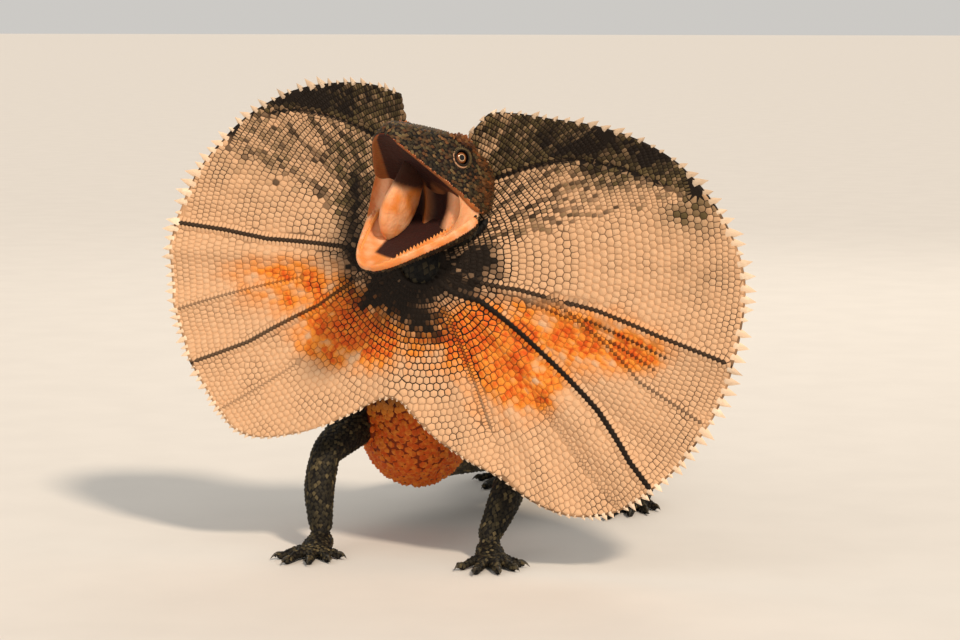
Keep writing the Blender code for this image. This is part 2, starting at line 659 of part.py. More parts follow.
def make_frill_part(name, first, last, rng):
    """A sector of the frill, meshed alike on its front and back, with spines on its edge."""
    trim = math.degrees(GAP / 2 / 60.0)
    columns = edge_columns(first - trim, last + trim)
    bm = bmesh.new()
    sheets = []
    for side in (1, -1):
        rings = []
        for n, share in enumerate(FRILL_RINGS):
            thick = FRILL_THICK_ROOT + (FRILL_THICK_EDGE - FRILL_THICK_ROOT) * share
            step = 2 if n < FRILL_COARSE_RINGS else 1
            ring = {}
            for k in range(0, len(columns), step):
                edge = value_at(FRILL_EDGE, columns[k])
                radius = FRILL_ROOT_RADIUS + (edge - FRILL_ROOT_RADIUS) * share
                lift = side * thick / 2
                ring[k] = bm.verts.new(frill_point(columns[k], radius, lift))
            rings.append(ring)
        sheets.append(rings)
    tips = []
    last_column = len(columns) - 1
    for k in range(last_column):
        angle = columns[k] + (columns[k + 1] - columns[k]) * rng.uniform(0.35, 0.65)
        high = value_at(SPINE_HEIGHTS, angle) * rng.uniform(0.6, 1.3)
        radius = value_at(FRILL_EDGE, angle) + high
        pair = [bm.verts.new(frill_point(angle, radius, side * 0.2)) for side in (1, -1)]
        tips.append(pair)
    for side, rings in zip((0, 1), sheets):
        for n in range(len(rings) - 1):
            inner, outer = rings[n], rings[n + 1]
            if len(inner) == len(outer):
                keys = sorted(inner)
                for a, b in zip(keys, keys[1:]):
                    bm.faces.new((inner[a], outer[a], outer[b]))
                    bm.faces.new((inner[a], outer[b], inner[b]))
            else:
                for a in range(0, last_column, 2):
                    bm.faces.new((inner[a], outer[a], outer[a + 1]))
                    bm.faces.new((inner[a], outer[a + 1], inner[a + 2]))
                    bm.faces.new((inner[a + 2], outer[a + 1], outer[a + 2]))
        for k in range(last_column):
            bm.faces.new((rings[-1][k], tips[k][side], rings[-1][k + 1]))
    front, back = sheets
    for k in range(last_column):
        bm.faces.new((front[-1][k], back[-1][k], tips[k][1], tips[k][0]))
        bm.faces.new((tips[k][0], tips[k][1], back[-1][k + 1], front[-1][k + 1]))
    keys = sorted(front[0])
    for a, b in zip(keys, keys[1:]):
        bm.faces.new((front[0][a], front[0][b], back[0][b], back[0][a]))
    for n in range(len(front) - 1):
        for k in (0, last_column):
            bm.faces.new((front[n][k], front[n + 1][k], back[n + 1][k], back[n][k]))
    return new_object(name, bm)


def bounds(objects):
    corners = [o.matrix_world @ v.co for o in objects for v in o.data.vertices]
    low = Vector(min(c[i] for c in corners) for i in range(3))
    high = Vector(max(c[i] for c in corners) for i in range(3))
    return low, high


def build():
    materials = {name: make_material(name) for name in MATERIALS}
    rng = random.Random(SEED)
    head = make_cranium()
    jaw = make_lower_jaw(head)
    lining = make_mouth_lining(head, jaw)
    tongue = make_tongue(head, jaw, lining)
    trunk = make_trunk()
    cut_clear(trunk["neck"], [head, jaw, lining])
    frills = [make_frill_part(*part, rng) for part in FRILL_PARTS]
    for frill in frills:
        cut_clear(frill, [trunk["neck"], head, jaw, lining], "MANIFOLD")
    legs = []
    for side, fore, hind in (("right", FORELEG_RIGHT, HINDLEG_RIGHT),
                             ("left", FORELEG_LEFT, HINDLEG_LEFT)):
        names = [f"{part}_{side}" for part in ("upper_arm", "forearm", "hand")]
        foot = (HAND_HEADINGS[side], HAND_PALM, HAND_TOES, 5.2)
        legs += make_leg(names, fore, [trunk["chest"], trunk["neck"]], foot)
        names = [f"{part}_{side}" for part in ("thigh", "shin", "foot")]
        foot = (FOOT_HEADINGS[side], FOOT_PALM, FOOT_TOES, 5.4)
        legs += make_leg(names, hind, [trunk["torso"], trunk["tail_1"]], foot)
    finish(head, materials["scaly_skin"])
    finish(jaw, materials["dark_skin"])
    finish(lining, materials["mouth_skin"])
    finish(tongue, materials["tongue"])
    for eye in make_eyes():
        finish(eye, materials["eye"])
    for name, obj in trunk.items():
        finish(obj, materials["chest_skin" if name == "chest" else "scaly_skin"])
    for leg in legs:
        finish(leg, materials["dark_skin"])
    for frill in frills:
        finish(frill, materials["frill_skin"])
    low, high = bounds(PARTS.objects)
    shift = Vector((-(low.x + high.x) / 2, -(low.y + high.y) / 2, -low.z))
    for obj in PARTS.objects:
        obj.data.transform(Matrix.Translation(shift))
    return shift


def new_collection(name):
    collection = bpy.data.collections.new(name)
    bpy.context.scene.collection.children.link(collection)
    return collection


for old in list(bpy.data.objects):
    bpy.data.objects.remove(old)
PARTS = new_collection("frilled_lizard")
WORK = new_collection("work")
CUTTERS = new_collection("cutters")
SHIFT = build()
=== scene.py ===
"""Skin, scales, eyes, mouth and studio for a life-size frilled lizard with its frill spread.

Shapes are worked out in millimetres in the lizard's own frame, as in the part's source: it
faces -Y, its left side is +X, +Z is up and the frill's centre stands on the Z axis. One
function moves them to metres in the frame of the solids.
"""

import math

import bmesh
import bpy
import numpy as np
from bpy.props import FloatProperty, FloatVectorProperty, IntProperty, PointerProperty
from mathutils import Matrix, Vector, noise
from mathutils.geometry import delaunay_2d_cdt
from mathutils.kdtree import KDTree


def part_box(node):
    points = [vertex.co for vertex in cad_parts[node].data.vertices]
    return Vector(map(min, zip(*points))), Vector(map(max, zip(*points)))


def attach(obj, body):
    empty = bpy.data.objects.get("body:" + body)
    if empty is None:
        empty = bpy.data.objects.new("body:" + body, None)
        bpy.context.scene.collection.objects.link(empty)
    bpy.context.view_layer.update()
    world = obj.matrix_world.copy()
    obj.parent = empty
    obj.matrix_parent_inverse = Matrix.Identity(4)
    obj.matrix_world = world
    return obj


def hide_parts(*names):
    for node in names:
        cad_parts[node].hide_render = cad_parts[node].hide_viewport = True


bl_info = {
    "name": "Frilled lizard",
    "version": (1, 0, 0),
    "blender": (4, 5, 0),
    "location": "3D View > Sidebar > Lizard",
    "description": "Dresses the solids of a frilled lizard with skin, scales, eyes and mouth",
    "category": "Object",
}

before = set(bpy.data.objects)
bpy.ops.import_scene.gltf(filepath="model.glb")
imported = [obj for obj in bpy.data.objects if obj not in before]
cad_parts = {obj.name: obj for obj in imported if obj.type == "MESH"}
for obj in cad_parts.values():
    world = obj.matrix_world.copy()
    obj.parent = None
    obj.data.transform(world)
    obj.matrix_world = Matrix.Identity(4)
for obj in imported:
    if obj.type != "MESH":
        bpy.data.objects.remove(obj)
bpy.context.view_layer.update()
MM = 0.001

# Lowest places of skin and scales above the floor, and how high an underside has to be to
# carry scales
SKIN_LOWEST, SCALE_LOWEST, SCALE_CLEAR = 0.1 * MM, 0.05 * MM, 1.1 * MM
# How far the solids are swollen before they are made one skin, how near corners are merged
BODY_SWELL, HEAD_SWELL, MERGE_REACH = 0.3 * MM, 0.1 * MM, 0.01 * MM
TONGUE_VOXEL = 0.6 * MM

# Folds round an eye: angle from its gaze, first and last angle round it, thickness, paleness
FOLDS_OF_LID = ((31, 0, 360, 0.42, 0.1), (40, 95, 255, 0.50, 0.7), (48, 100, 250, 0.35, 0.2),
                (41, -75, 75, 0.45, 0.35), (58, -80, 80, 0.5, 0.3))
# Rings of granules round an eye: angle from its gaze, size of a granule
RINGS_OF_LID = ((36, 0.75), (43, 0.9), (52, 1.05), (62, 1.2), (73, 1.3), (85, 1.4))
# Head: frame at the hinge of the jaws, and the tilt of each jaw
HINGE = Vector((7.0, -18.0, 151.5))
HEAD_YAW, HEAD_PITCH, HEAD_ROLL = -11.2, -7.5, 9.6
UPPER_TILT, LOWER_TILT = 27.5, -35.5
# Left eye in the head's frame: centre, radius, radius of its lids, and where it looks
EYE_AT, EYE_RADIUS, LID_RADIUS = (13.6, -18.0, 13.9), 4.9, 6.4
EYE_GAZE = (0.82, -0.55, 0.02)
# Middle of the left brow in the head's frame, and of the orange chest as x and z
BROW_AT, CHEST_AT = (13.0, -18.0, 22.5), (-22.0, 38.0)
# Cheek muscles inside the mouth: place across it, half width, height
CHEEK_MUSCLES = ((0.57, 0.17, 1.0), (-0.72, 0.12, 0.8))
# Half width of the lower jaw: distance ahead of the hinge, half width
JAW_WIDTHS = ((-3, 24.5), (4, 24.6), (12, 22.8), (20, 19.6), (28, 16.0), (36, 12.2),
              (42, 8.8), (47, 4.6))
# Half width of the cranium at the lips
LIP_WIDTHS = ((-6, 22.5), (0, 24.6), (8, 24.4), (16, 22.0), (24, 18.6), (32, 14.8),
              (40, 11.0), (46, 7.8), (50, 4.4))

# Spine from neck to tail tip and the four legs, as x, y, z, radius
SPINE = ((4, 7, 140, 18), (-6, 22, 117, 16), (-18, 34, 88, 18), (-27, 46, 51, 23),
         (-31, 76, 44.5, 24), (-26, 110, 42, 25), (-15, 144, 39, 24), (-3, 174, 33.5, 21),
         (5, 200, 26.5, 17), (9, 228, 17.5, 13.5), (8, 260, 11.5, 11.8), (-3, 302, 9.6, 10),
         (-22, 352, 7.9, 8.3), (-43, 410, 6.3, 6.7), (-58, 470, 4.9, 5.3),
         (-64, 525, 3.7, 4.1), (-61, 575, 2.7, 3.1), (-53, 622, 1.8, 2.2), (-47, 664, 1, 1.4))
LEGS = (
    ((-36, 60, 55, 9), (-44, 34, 53, 9.6), (-50.5, 6, 42, 6.2), (-52, 2, 27, 6.2),
     (-50.5, 0, 10, 4.6), (-48.5, -10, 4, 5), (-42, -38, 2, 2)),
    ((-10, 60, 53, 9), (16, 42, 49, 9.6), (31, 21, 38, 6.6), (29, 13, 25, 6.6),
     (24.5, 5, 10, 4.6), (29, -6, 4, 5), (42, -28, 2, 2)),
    ((-12, 178, 34, 13), (-34, 180, 32, 12.4), (-50, 190, 26, 8), (-48, 214, 17, 7.4),
     (-37, 238, 8.6, 4.9), (-36, 226, 5, 5.4), (-33, 180, 2, 2)),
    ((8, 174, 34, 13), (28, 154, 33, 12.4), (44, 138, 27, 8), (47, 156, 17, 7.4),
     (40, 177, 8.6, 4.9), (42, 165, 5, 5.4), (48, 118, 2, 2)),
)
# Feet: ankle, heading from straight ahead to the left, length and radius of the palm, and
# toes as (turn, length)
HAND_TOES = ((-52, 13), (-24, 19), (-4, 24), (16, 25), (42, 17))
FOOT_TOES = ((-40, 15), (-20, 23), (-6, 31), (6, 41), (40, 21))
FEET = (
    ((-50.5, 0), 12.0, 12.0, 5.2, HAND_TOES),
    ((24.5, 5), 24.0, 12.0, 5.2, HAND_TOES),
    ((-37, 238), 4.0, 24.0, 5.4, FOOT_TOES),
    ((40, 177), 8.0, 24.0, 5.4, FOOT_TOES),
)
CLAW_LENGTH, CLAW_RADIUS = 6.2, 1.25

# Frill: a shallow dish round its centre, its edge as (angle, radius), clockwise from the top
# of its left lobe as seen from the front
FRILL_CENTRE = np.array((0.0, 0.0, 126.0))
FRILL_YAW, FRILL_PITCH = 2.0, -5.0
FRILL_EDGE = (
    (70, 58), (66, 68), (58, 73.5), (48, 81), (39, 92), (30, 104.5), (21, 117), (10, 128.5),
    (0, 136.5), (-10, 138.5), (-22, 139.5), (-34, 138), (-43, 135.5), (-50, 131.5),
    (-56, 124), (-62, 111.5), (-68, 95), (-75, 84.5), (-84, 74), (-92, 64.5), (-99, 59),
    (-107, 61), (-115, 71), (-122, 83.5), (-128, 95), (-134, 106), (-139, 111), (-150, 112),
    (-162, 113.5), (-174, 114), (-186, 113.5), (-198, 109.5), (-207, 105.5), (-215, 102),
    (-224, 96.5), (-234, 90), (-244, 83), (-252, 77.5), (-260, 71.5),
)
# First and last angle of that table, the angle above which another counts a turn less, and
# the radius inside which head and throat hide the frill
FRILL_START, FRILL_END, FRILL_WRAP, FRILL_HIDDEN = 70.0, -260.0, 85.0, 12.0
# Radius of the hole at the root, depth of the dish, funnel towards the mouth, thickness
FRILL_ROOT, FRILL_DISH = 9.0, 9.0
FUNNEL_AHEAD, FUNNEL_RADIUS = 13.0, 32.0
THICK_ROOT, THICK_EDGE = 2.2, 0.9
# Soft folds: angle, height in mm, half width in degrees
FOLDS = ((28, -4.0, 7.0), (-16.5, 3.2, 3.6), (-31, 1.6, 3.0), (-43, 3.6, 3.6),
         (-58, 1.6, 3.2), (-72, 1.4, 3.0), (-146, 1.4, 3.0), (-157, 3.2, 3.4),
         (-170, 1.6, 3.0), (-181, 3.4, 3.6), (-215, -4.0, 8.0))
# Creases: places as (share of the radius, angle), width in mm, how dark the painted shade in the
# fold is, how raised in mm
CREASES = (
    (((0.36, -16.6), (0.5, -17.2), (0.8, -19.2)), 0.7, 0.85, 0.3),
    (((0.34, -18.8), (0.48, -19.2), (0.78, -22.6)), 0.7, 0.75, 0.3),
    (((0.18, -18), (0.3, -14.4), (0.55, -13.6), (0.76, -15.2), (1.0, -16)), 1.3, 0.95, 1.0),
    (((0.4, -14), (0.54, -20), (0.75, -26.4), (1.0, -27.2)), 0.8, 0.7, 0.5),
    (((0.1, -45), (0.21, -32), (0.44, -35.2), (0.7, -37.6), (0.89, -40.8), (1.0, -41.6)),
     1.7, 1.0, 1.3),
    (((0.2, -63), (0.48, -65.6), (0.75, -66)), 0.9, 0.55, 0.4),
    (((0.57, -48), (0.84, -48.8), (1.0, -48)), 0.7, 0.25, 0.4),
    (((0.2, -172), (0.33, -188.5), (0.63, -186.4), (0.8, -187.2), (1.0, -187.2)),
     1.4, 0.95, 1.2),
    (((0.5, -172), (1.0, -168)), 0.7, 0.55, 0.4),
    (((0.18, -168), (0.45, -157.6), (0.76, -155.2), (1.0, -156)), 1.2, 0.85, 0.9),
    (((0.65, -142), (1.0, -144)), 0.7, 0.35, 0.4),
    (((0.5, 58), (0.62, 47), (0.78, 35), (0.87, 20.8), (0.93, 14)), 1.3, 1.0, -1.3),
    (((0.45, -262), (0.69, -246.4), (0.92, -225.6), (0.97, -218)), 1.3, 1.0, -1.3),
)
# The last two bend the upper edges of both lobes back like collars
COLLARS = CREASES[-2:]
# Markings and painted shade on the frill's front: x, z, half sizes, and strength
ORANGE = ((-63, -6, 26, 8, 0.7), (-55, -17, 26, 9, 0.7), (-42, -31, 15, 11, 1.6),
          (-24, -24, 15, 12, 1.35), (-24, -38, 14, 9, 0.9), (20, -30, 22, 15, 0.45),
          (47, -50, 13, 10, 1.1), (50, -26, 36, 11, 0.85), (61, -34, 30, 11, 0.6),
          (90, -35, 14, 7, 0.95), (34, -50, 20, 16, 0.5), (8, -36, 14, 9, 0.5))
# The black marks round the centre are partly painted shadow of the head and jaw on the frill
BLACK = ((-10, -16, 13, 12, 1.15), (2, -4, 25, 11, 1.6), (20, 3, 13, 6, 0.8),
         (-25, -17, 12, 9, 0.55), (3, -28, 11, 9, 0.7), (-33, 24, 6, 26, 0.85),
         (-29, 0, 11, 7, 0.7), (22, -10, 14, 4, 0.35), (-57, 68, 20, 7, 0.8),
         (76, 47, 30, 7, 0.55))
OLIVE = ((-44, 68, 34, 10, 0.45), (-78, 50, 20, 14, 0.35), (-60, 40, 26, 12, 0.2),
         (40, 53, 20, 14, 0.6), (84, 40, 30, 9, 0.7), (115, 26, 12, 10, 0.8),
         (118, -3, 12, 8, 0.15), (-34, 34, 10, 22, 0.9), (22, 62, 10, 18, 0.9))
# Painted shade in the hollow below the main crease of the lobe at positive x
SHADE_BELOW_CREASE = ((54, -15, 22, 3.2, 1.6), (78, -23, 14, 4.5, 0.9))
# Fields of scales on the frill: first and last angle, size of a scale, how long along the
# radius
SCALE_FIELDS = ((70, 33, 1.95, 1.5), (33, 14, 2.3, 1.35), (14, -15, 3.4, 1.1),
                (-15, -41, 3.2, 1.3), (-41, -66, 3.2, 1.2), (-66, -100, 3.2, 1.05),
                (-100, -150, 3.1, 1.1), (-150, -187, 3.2, 1.25), (-187, -208, 3.1, 1.2),
                (-208, -226, 2.3, 1.4), (-226, -260, 1.95, 1.5))
# Spines along the edge: angle, height, spacing
EDGE_SPINES = ((70, 1.9, 2.6), (52, 2.4, 3.4), (30, 3.2, 4.2), (0, 4.8, 5.0), (-20, 5.0, 4.8),
               (-38, 3.6, 3.6), (-52, 2.0, 2.6), (-70, 1.1, 2.2), (-100, 1.0, 2.2),
               (-135, 1.5, 2.4), (-155, 3.0, 3.4), (-190, 4.4, 4.4), (-225, 3.8, 4.4),
               (-250, 2.6, 3.4), (-260, 2.0, 2.8))

# Camera: turn and height in degrees, distance, millimetres a pixel at the frill, offsets
CAMERA_TURN, CAMERA_HEIGHT, CAMERA_DISTANCE = 20.0, 6.0, 1200.0
MM_PER_PIXEL, CAMERA_RIGHT, CAMERA_DOWN = 0.42, 21.0, 24.36
PICTURE_WIDTH = 960
# Key light (strength, angle across in degrees, colour), fill and rim (width in metres, power,
# colour), floor and background
KEY_LIGHT = (2.85, 7.0, "FFE9D0")
FILL_LIGHT, RIM_LIGHT = (1.4, 4.0, "FFF0E0"), (0.8, 3.0, "FFF4E4")
PAPER_COLOUR, FLOOR_HALF = "DAD7D2", 40.0
SKY_COLOUR, SKY_STRENGTH = "F2EFEA", 0.68

# Length, width and height of a scale as shares of its spacing, and the chest's wider spacing
BODY_PLATE, CHEST_PLATE, CHEST_SPACING = (1.75, 1.4, 0.36), (1.52, 1.56, 0.6), 1.15


def linear(code):
    """Linear RGB from an sRGB hex code."""
    values = [int(code[i:i + 2], 16) / 255 for i in (0, 2, 4)]
    return tuple(c / 12.92 if c <= 0.04045 else ((c + 0.055) / 1.055) ** 2.4 for c in values)


def colour(label, code, about):
    return FloatVectorProperty(name=label, description=about, default=linear(code),
                               subtype="COLOR", min=0.0, max=1.0, size=3)


def length(label, millimetres, about):
    return FloatProperty(name=label, description=about, default=millimetres * MM,
                         min=0.0001, unit="LENGTH", subtype="DISTANCE", precision=5)


class LizardSizes(bpy.types.PropertyGroup):
    body_voxel: length("Body voxel", 1.12, "Detail of the skin of body, legs and tail")
    head_voxel: length("Head voxel", 0.55, "Detail of the skin of the head")
    trunk_scale: length("Trunk scale", 1.95, "Spacing of the scales on neck, chest and torso")
    limb_scale: length("Limb scale", 1.4, "Spacing of the scales on legs, feet and tail")
    head_scale: length("Head scale", 1.25, "Spacing of the scales on the head")
    patch: length("Patch", 3.0, "Width of one scale's patch on the map used for baking")
    seed: IntProperty(name="Seed", description="Seed of everything random", default=7)


class LizardColours(bpy.types.PropertyGroup):
    cream: colour("Cream", "D7B08B", "Spread frill")
    cream_deep: colour("Deep cream", "CFA27A", "Darker scales of the frill")
    orange: colour("Orange", "E68C30", "Patches on the frill and the chest")
    red_orange: colour("Red orange", "CF5412", "Reddest scales of those patches")
    olive: colour("Olive", "57492C", "Upper edges of the frill, crown and snout")
    spine: colour("Spine", "F3DFC6", "Pointed scales along the frill's edge")
    # Net and black also serve as painted shade: net in the frill's creases and in the head's
    # shadow on it, black under the jaw, on the throat and round the lids
    net: colour("Net", "170E06", "Skin between scales")
    black: colour("Black", "0B0908", "Throat, creases and claws")
    body: colour("Body", "3A3526", "Back and flanks")
    body_pale: colour("Pale body", "7C6E4C", "Flecks and underside")
    limb: colour("Limb", "181610", "Legs and feet")
    head: colour("Head", "2B2314", "Crown, snout and cheeks")
    head_pale: colour("Pale head", "82704A", "Flecks on the head")
    rust: colour("Rust", "8A4A1E", "Brow and temple")
    flesh: colour("Flesh", "DE8438", "Rim of the jaws and corners of the mouth")
    flesh_pale: colour("Pale flesh", "EDB48A", "Tongue and cheeks")
    # Deep flesh is mostly painted shade: on the palate, the tongue's top and down the throat
    flesh_deep: colour("Deep flesh", "2C0E08", "Palate and throat")
    tooth: colour("Tooth", "EBA65E", "Teeth")
    iris: colour("Iris", "7E4519", "Iris")
    iris_pale: colour("Pale iris", "D8B48A", "Ring round the pupil")


def head_matrix(tilt=0.0):
    """Frame of the head at the hinge, tilted up by an angle for a jaw."""
    turn = (Matrix.Rotation(math.radians(HEAD_YAW), 4, "Z")
            @ Matrix.Rotation(math.radians(HEAD_PITCH), 4, "X")
            @ Matrix.Rotation(math.radians(HEAD_ROLL), 4, "Y")
            @ Matrix.Rotation(math.radians(-tilt), 4, "X"))
    return Matrix.Translation(HINGE) @ turn


def frame_shift():
    """From the lizard's own frame to that of the solids, in metres, by the left eye."""
    low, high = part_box("eye_left")
    eye = head_matrix(UPPER_TILT) @ Vector(EYE_AT)
    return np.array((Vector(low) + Vector(high)) / 2 - eye * MM)


SHIFT = frame_shift()


def to_row(places):
    """Millimetres in the lizard's frame to metres in the frame of the solids."""
    return np.asarray(places, float) * MM + SHIFT


def to_lizard(places):
    return (np.asarray(places, float) - SHIFT) / MM


def apply_matrix(matrix, places):
    m = np.array(matrix)
    return np.asarray(places, float) @ m[:3, :3].T + m[:3, 3]


def in_head(places, tilt):
    """Places of the lizard in the frame of the head or of a tilted jaw."""
    return apply_matrix(head_matrix(tilt).inverted(), places)


def eye_place(side):
    """Centre and gaze of an eye in the head's frame; side is 1 for the left one, else -1."""
    gaze = Vector((side * EYE_GAZE[0], *EYE_GAZE[1:])).normalized()
    return Vector((side * EYE_AT[0], *EYE_AT[1:])), gaze


def unit(vectors):
    vectors = np.asarray(vectors, float)
    return vectors / np.maximum(np.linalg.norm(vectors, axis=-1, keepdims=True), 1e-9)


def bell(*offsets):
    """1 where every offset is 0, fading on all sides to about a third where one is 1."""
    return np.exp(-sum(offset ** 2 for offset in offsets))


def catmull(points, places):
    """Catmull-Rom values at places counted in points."""
    points = np.asarray(points, float)
    last = len(points) - 1
    places = np.clip(np.asarray(places, float), 0, last)
    i = np.minimum(places.astype(int), last - 1)
    t = (places - i)[..., None]
    a, b = points[np.maximum(i - 1, 0)], points[i]
    c, d = points[i + 1], points[np.minimum(i + 2, last)]
    return 0.5 * (2 * b + (c - a) * t + (2 * a - 5 * b + 4 * c - d) * t * t
                  + (3 * b - a - 3 * c + d) * t ** 3)


def edge_radius(angle):
    """Distance of the frill's edge from its centre at an angle."""
    table = np.array(FRILL_EDGE, float)
    place = np.interp(-np.asarray(angle, float), -table[:, 0], np.arange(len(table)))
    return catmull(table[:, 1:], place)[..., 0]


def crease_near(angle, share, crease):
    """How near a place is to a crease, from 0 to 1."""
    path, width = np.array(crease[0], float), crease[1]
    radius = np.maximum(edge_radius(angle) * share, 4.0)
    off = np.radians(angle - np.interp(share, path[:, 0], path[:, 1])) * radius
    fade = np.clip((share - path[0, 0]) / 0.08, 0, 1)
    if path[-1, 0] < 0.99:
        fade = fade * np.clip((path[-1, 0] - share) / 0.08, 0, 1)
    return bell(off / width) * fade


def frill_places(angle, share, lift=0.0):
    """Places on the frill's middle surface, raised towards the front by lift."""
    angle, share = np.broadcast_arrays(np.asarray(angle, float), np.asarray(share, float))
    radius = edge_radius(angle) * share
    ahead = FRILL_DISH * share ** 2 + FUNNEL_AHEAD * bell(radius / FUNNEL_RADIUS)
    for at, height, wide in FOLDS:
        near = bell((angle - at) / wide)
        ahead = ahead + height * near * np.minimum(share * 1.6, 1) * (1 - 0.35 * share)
    for crease in CREASES:
        ahead = ahead + crease[3] * crease_near(angle, share, crease)
    ahead = ahead + 0.5 * share ** 3 * np.sin(np.radians(angle * 23)) \
        + 0.25 * share * np.sin(np.radians(angle * 61))
    turn = np.radians(angle)
    flat = np.stack((np.cos(turn) * radius, -ahead - lift, np.sin(turn) * radius), -1)
    frame_turn = (Matrix.Rotation(math.radians(FRILL_YAW), 3, "Z")
                  @ Matrix.Rotation(math.radians(FRILL_PITCH), 3, "X"))
    return FRILL_CENTRE + flat @ np.array(frame_turn).T


def frill_thickness(share):
    return THICK_ROOT + (THICK_EDGE - THICK_ROOT) * share


def frill_polar(flat):
    """Angle and share of the radius for places on the flattened frill."""
    angle = np.degrees(np.arctan2(flat[:, 1], flat[:, 0]))
    angle = np.where(angle > FRILL_WRAP, angle - 360, angle)
    return angle, np.minimum(np.linalg.norm(flat, axis=1) / edge_radius(angle), 0.995)


def frill_frames(angle, share):
    """Outward direction along the frill and its front normal."""
    step = 0.004
    outwards = unit(frill_places(angle, share + step) - frill_places(angle, share - step))
    across = unit(frill_places(angle + 0.4, share) - frill_places(angle - 0.4, share))
    normal = unit(np.cross(outwards, across))
    normal *= np.where(normal[..., 1:2] > 0, -1.0, 1.0)
    return outwards, normal


def spots(x, z, marks):
    """Sum of oval marks, each fading from its middle."""
    total = np.zeros(np.shape(x))
    for at_x, at_z, half_x, half_z, strength in marks:
        total = total + strength * bell((x - at_x) / half_x, (z - at_z) / half_z)
    return total


def blotches(places, size, seed):
    """Soft noise about 0 over places, with blotches of a size; each use has its own seed."""
    move = Vector((seed * 3.7, seed * 1.3, seed * 5.1))
    return np.array([noise.noise(Vector(p) / size + move) for p in np.reshape(places, (-1, 3))])


def above_crease(angle, share, crease):
    """How far a place is beyond a crease that runs along an arc, from 0 to 1."""
    path = np.array(sorted((a, r) for r, a in crease[0]), float)
    limit = np.interp(angle, path[:, 0], path[:, 1], left=2.0, right=2.0)
    return np.clip((share - limit - 0.01) / 0.05, 0, 1)


def frill_marks(angle, share, places, front=True):
    """Warm, dark, net and olive amounts on the frill; dark and net also carry painted shade."""
    radius = edge_radius(angle) * share
    x, z = np.cos(np.radians(angle)) * radius, np.sin(np.radians(angle)) * radius
    patchy = blotches(places, 9.0, 1)
    fine = blotches(places, 3.0, 2)
    if not front:
        brown = 0.72 - 0.35 * share + 0.3 * patchy
        return np.stack((np.zeros_like(brown), np.clip(0.15 + 0.3 * fine, 0, 1),
                         np.full_like(brown, 0.8), np.clip(brown, 0, 1)), -1)
    streaks = np.column_stack((angle * 1.1, share * 4.0, 0 * share))
    pleats = blotches(streaks, 1.0, 3) * np.clip((-z - 10) / 30, 0, 1)
    collar = np.maximum(*(above_crease(angle, share, crease) for crease in COLLARS))
    olive = spots(x, z, OLIVE) * (1 + 0.9 * patchy + 0.9 * fine) + 2.4 * collar
    warm = spots(x, z, ORANGE) * (1 + 0.9 * patchy + 0.8 * fine + 0.6 * pleats) - 0.14
    # Dark: black markings that are partly painted shadow of the head, the collars' dark pigment,
    # pleat streaks and painted shade below the main crease
    dark = spots(x, z, BLACK) * (1 + 0.6 * patchy + 0.5 * fine) - 0.12 \
        + collar * (0.62 + 0.5 * patchy + 0.5 * blotches(streaks, 0.4, 8)) \
        + 0.35 * np.clip(pleats, 0, 1) + 0.4 * spots(x, z, SHADE_BELOW_CREASE)
    upper = np.clip((z - 8) / 45, 0, 1)
    rim = np.clip((share - 0.78) / 0.12, 0, 1) * np.clip((x - 40) / 30, 0, 1)
    # Net between scales, darkest round the centre, where it is partly painted shadow of the head
    net = 0.17 + 1.45 * bell(radius / 46) + 0.8 * upper + 0.4 * olive + 0.35 * rim \
        + 0.3 * bell((angle + 85) / 28) + 0.6 * patchy
    return np.clip(np.stack((warm, dark, net, olive), -1), 0, 1)


def peppered(angle, share):
    """Share of dark scales in the frill's upper parts, in streaks along the radius."""
    upper = np.maximum(0.8 * np.clip((angle - 9) / 16, 0, 1), np.clip((-203 - angle) / 18, 0, 1))
    streaks = blotches(np.column_stack((angle * 0.45, share * 2.4, 0 * share)), 1.0, 6)
    return np.clip(upper * (0.34 + 1.1 * streaks) * (1.15 - 0.4 * share), 0, 0.8)


def polar(angle, radius):
    turn = np.radians(angle)
    return np.stack((np.cos(turn) * radius, np.sin(turn) * radius), -1)


def frill_rows(first, last, base, long, coarse, rng):
    """Seeds of one field of scales: angle, radius and size, in staggered rows."""
    widest = max(e[1] for e in FRILL_EDGE if last <= e[0] <= first)
    rows, radius, row, step = [], FRILL_HIDDEN, 0, 0.0
    while radius < widest:
        size = base * coarse * (0.44 + 0.56 * min(radius / 52, 1)) \
            * (1 - 0.26 * (radius / widest) ** 3)
        stretch = long * (1 + 0.35 * max(1 - radius / 55, 0))
        ideal = math.degrees(size / stretch / radius)
        if not 0.85 < step / ideal < 1.16:
            step = ideal * 0.88
        angle = np.arange(first - step * (0.25 + 0.5 * (row % 2)), last, -step)
        inside = radius < edge_radius(angle) - 0.3 * size
        angle = angle[inside]
        wobble = rng.normal(0, 0.05, (2, len(angle)))
        rows.append(np.stack((angle + wobble[0] * step, radius + wobble[1] * size,
                              np.full(len(angle), size * math.sqrt(stretch))), -1))
        radius += size * 0.87 * stretch
        row += 1
    return np.concatenate(rows)


def crease_rows(crease):
    """Seeds along a crease and close beside it: x, y, size, and how dark the painted shade of the
    fold is.
    """
    path, width, dark = np.array(crease[0], float), crease[1], crease[2]
    share = np.arange(path[0, 0], min(path[-1, 0], 0.985), 0.0155)
    angle = np.interp(share, path[:, 0], path[:, 1])
    middle = polar(angle, edge_radius(angle) * share)
    along = unit(np.gradient(middle, axis=0))
    beside = np.stack((along[:, 1], -along[:, 0]), -1)
    # Painted shadow in a collar's deep fold: darkest near the head, fading towards the edge
    fade = np.clip((0.98 - share) / 0.25, 0.7, 1) if crease in COLLARS else np.ones(len(share))
    rows = [np.column_stack((middle, np.full(len(share), 3.2), dark * fade))]
    for side in (-1.0, 1.0):
        flank = middle + beside * side * width * 1.15 + along * 0.8
        rows.append(np.column_stack((flank, np.full((len(share), 2), (2.2, 0.0)))))
    return np.concatenate(rows), middle, width * 1.15


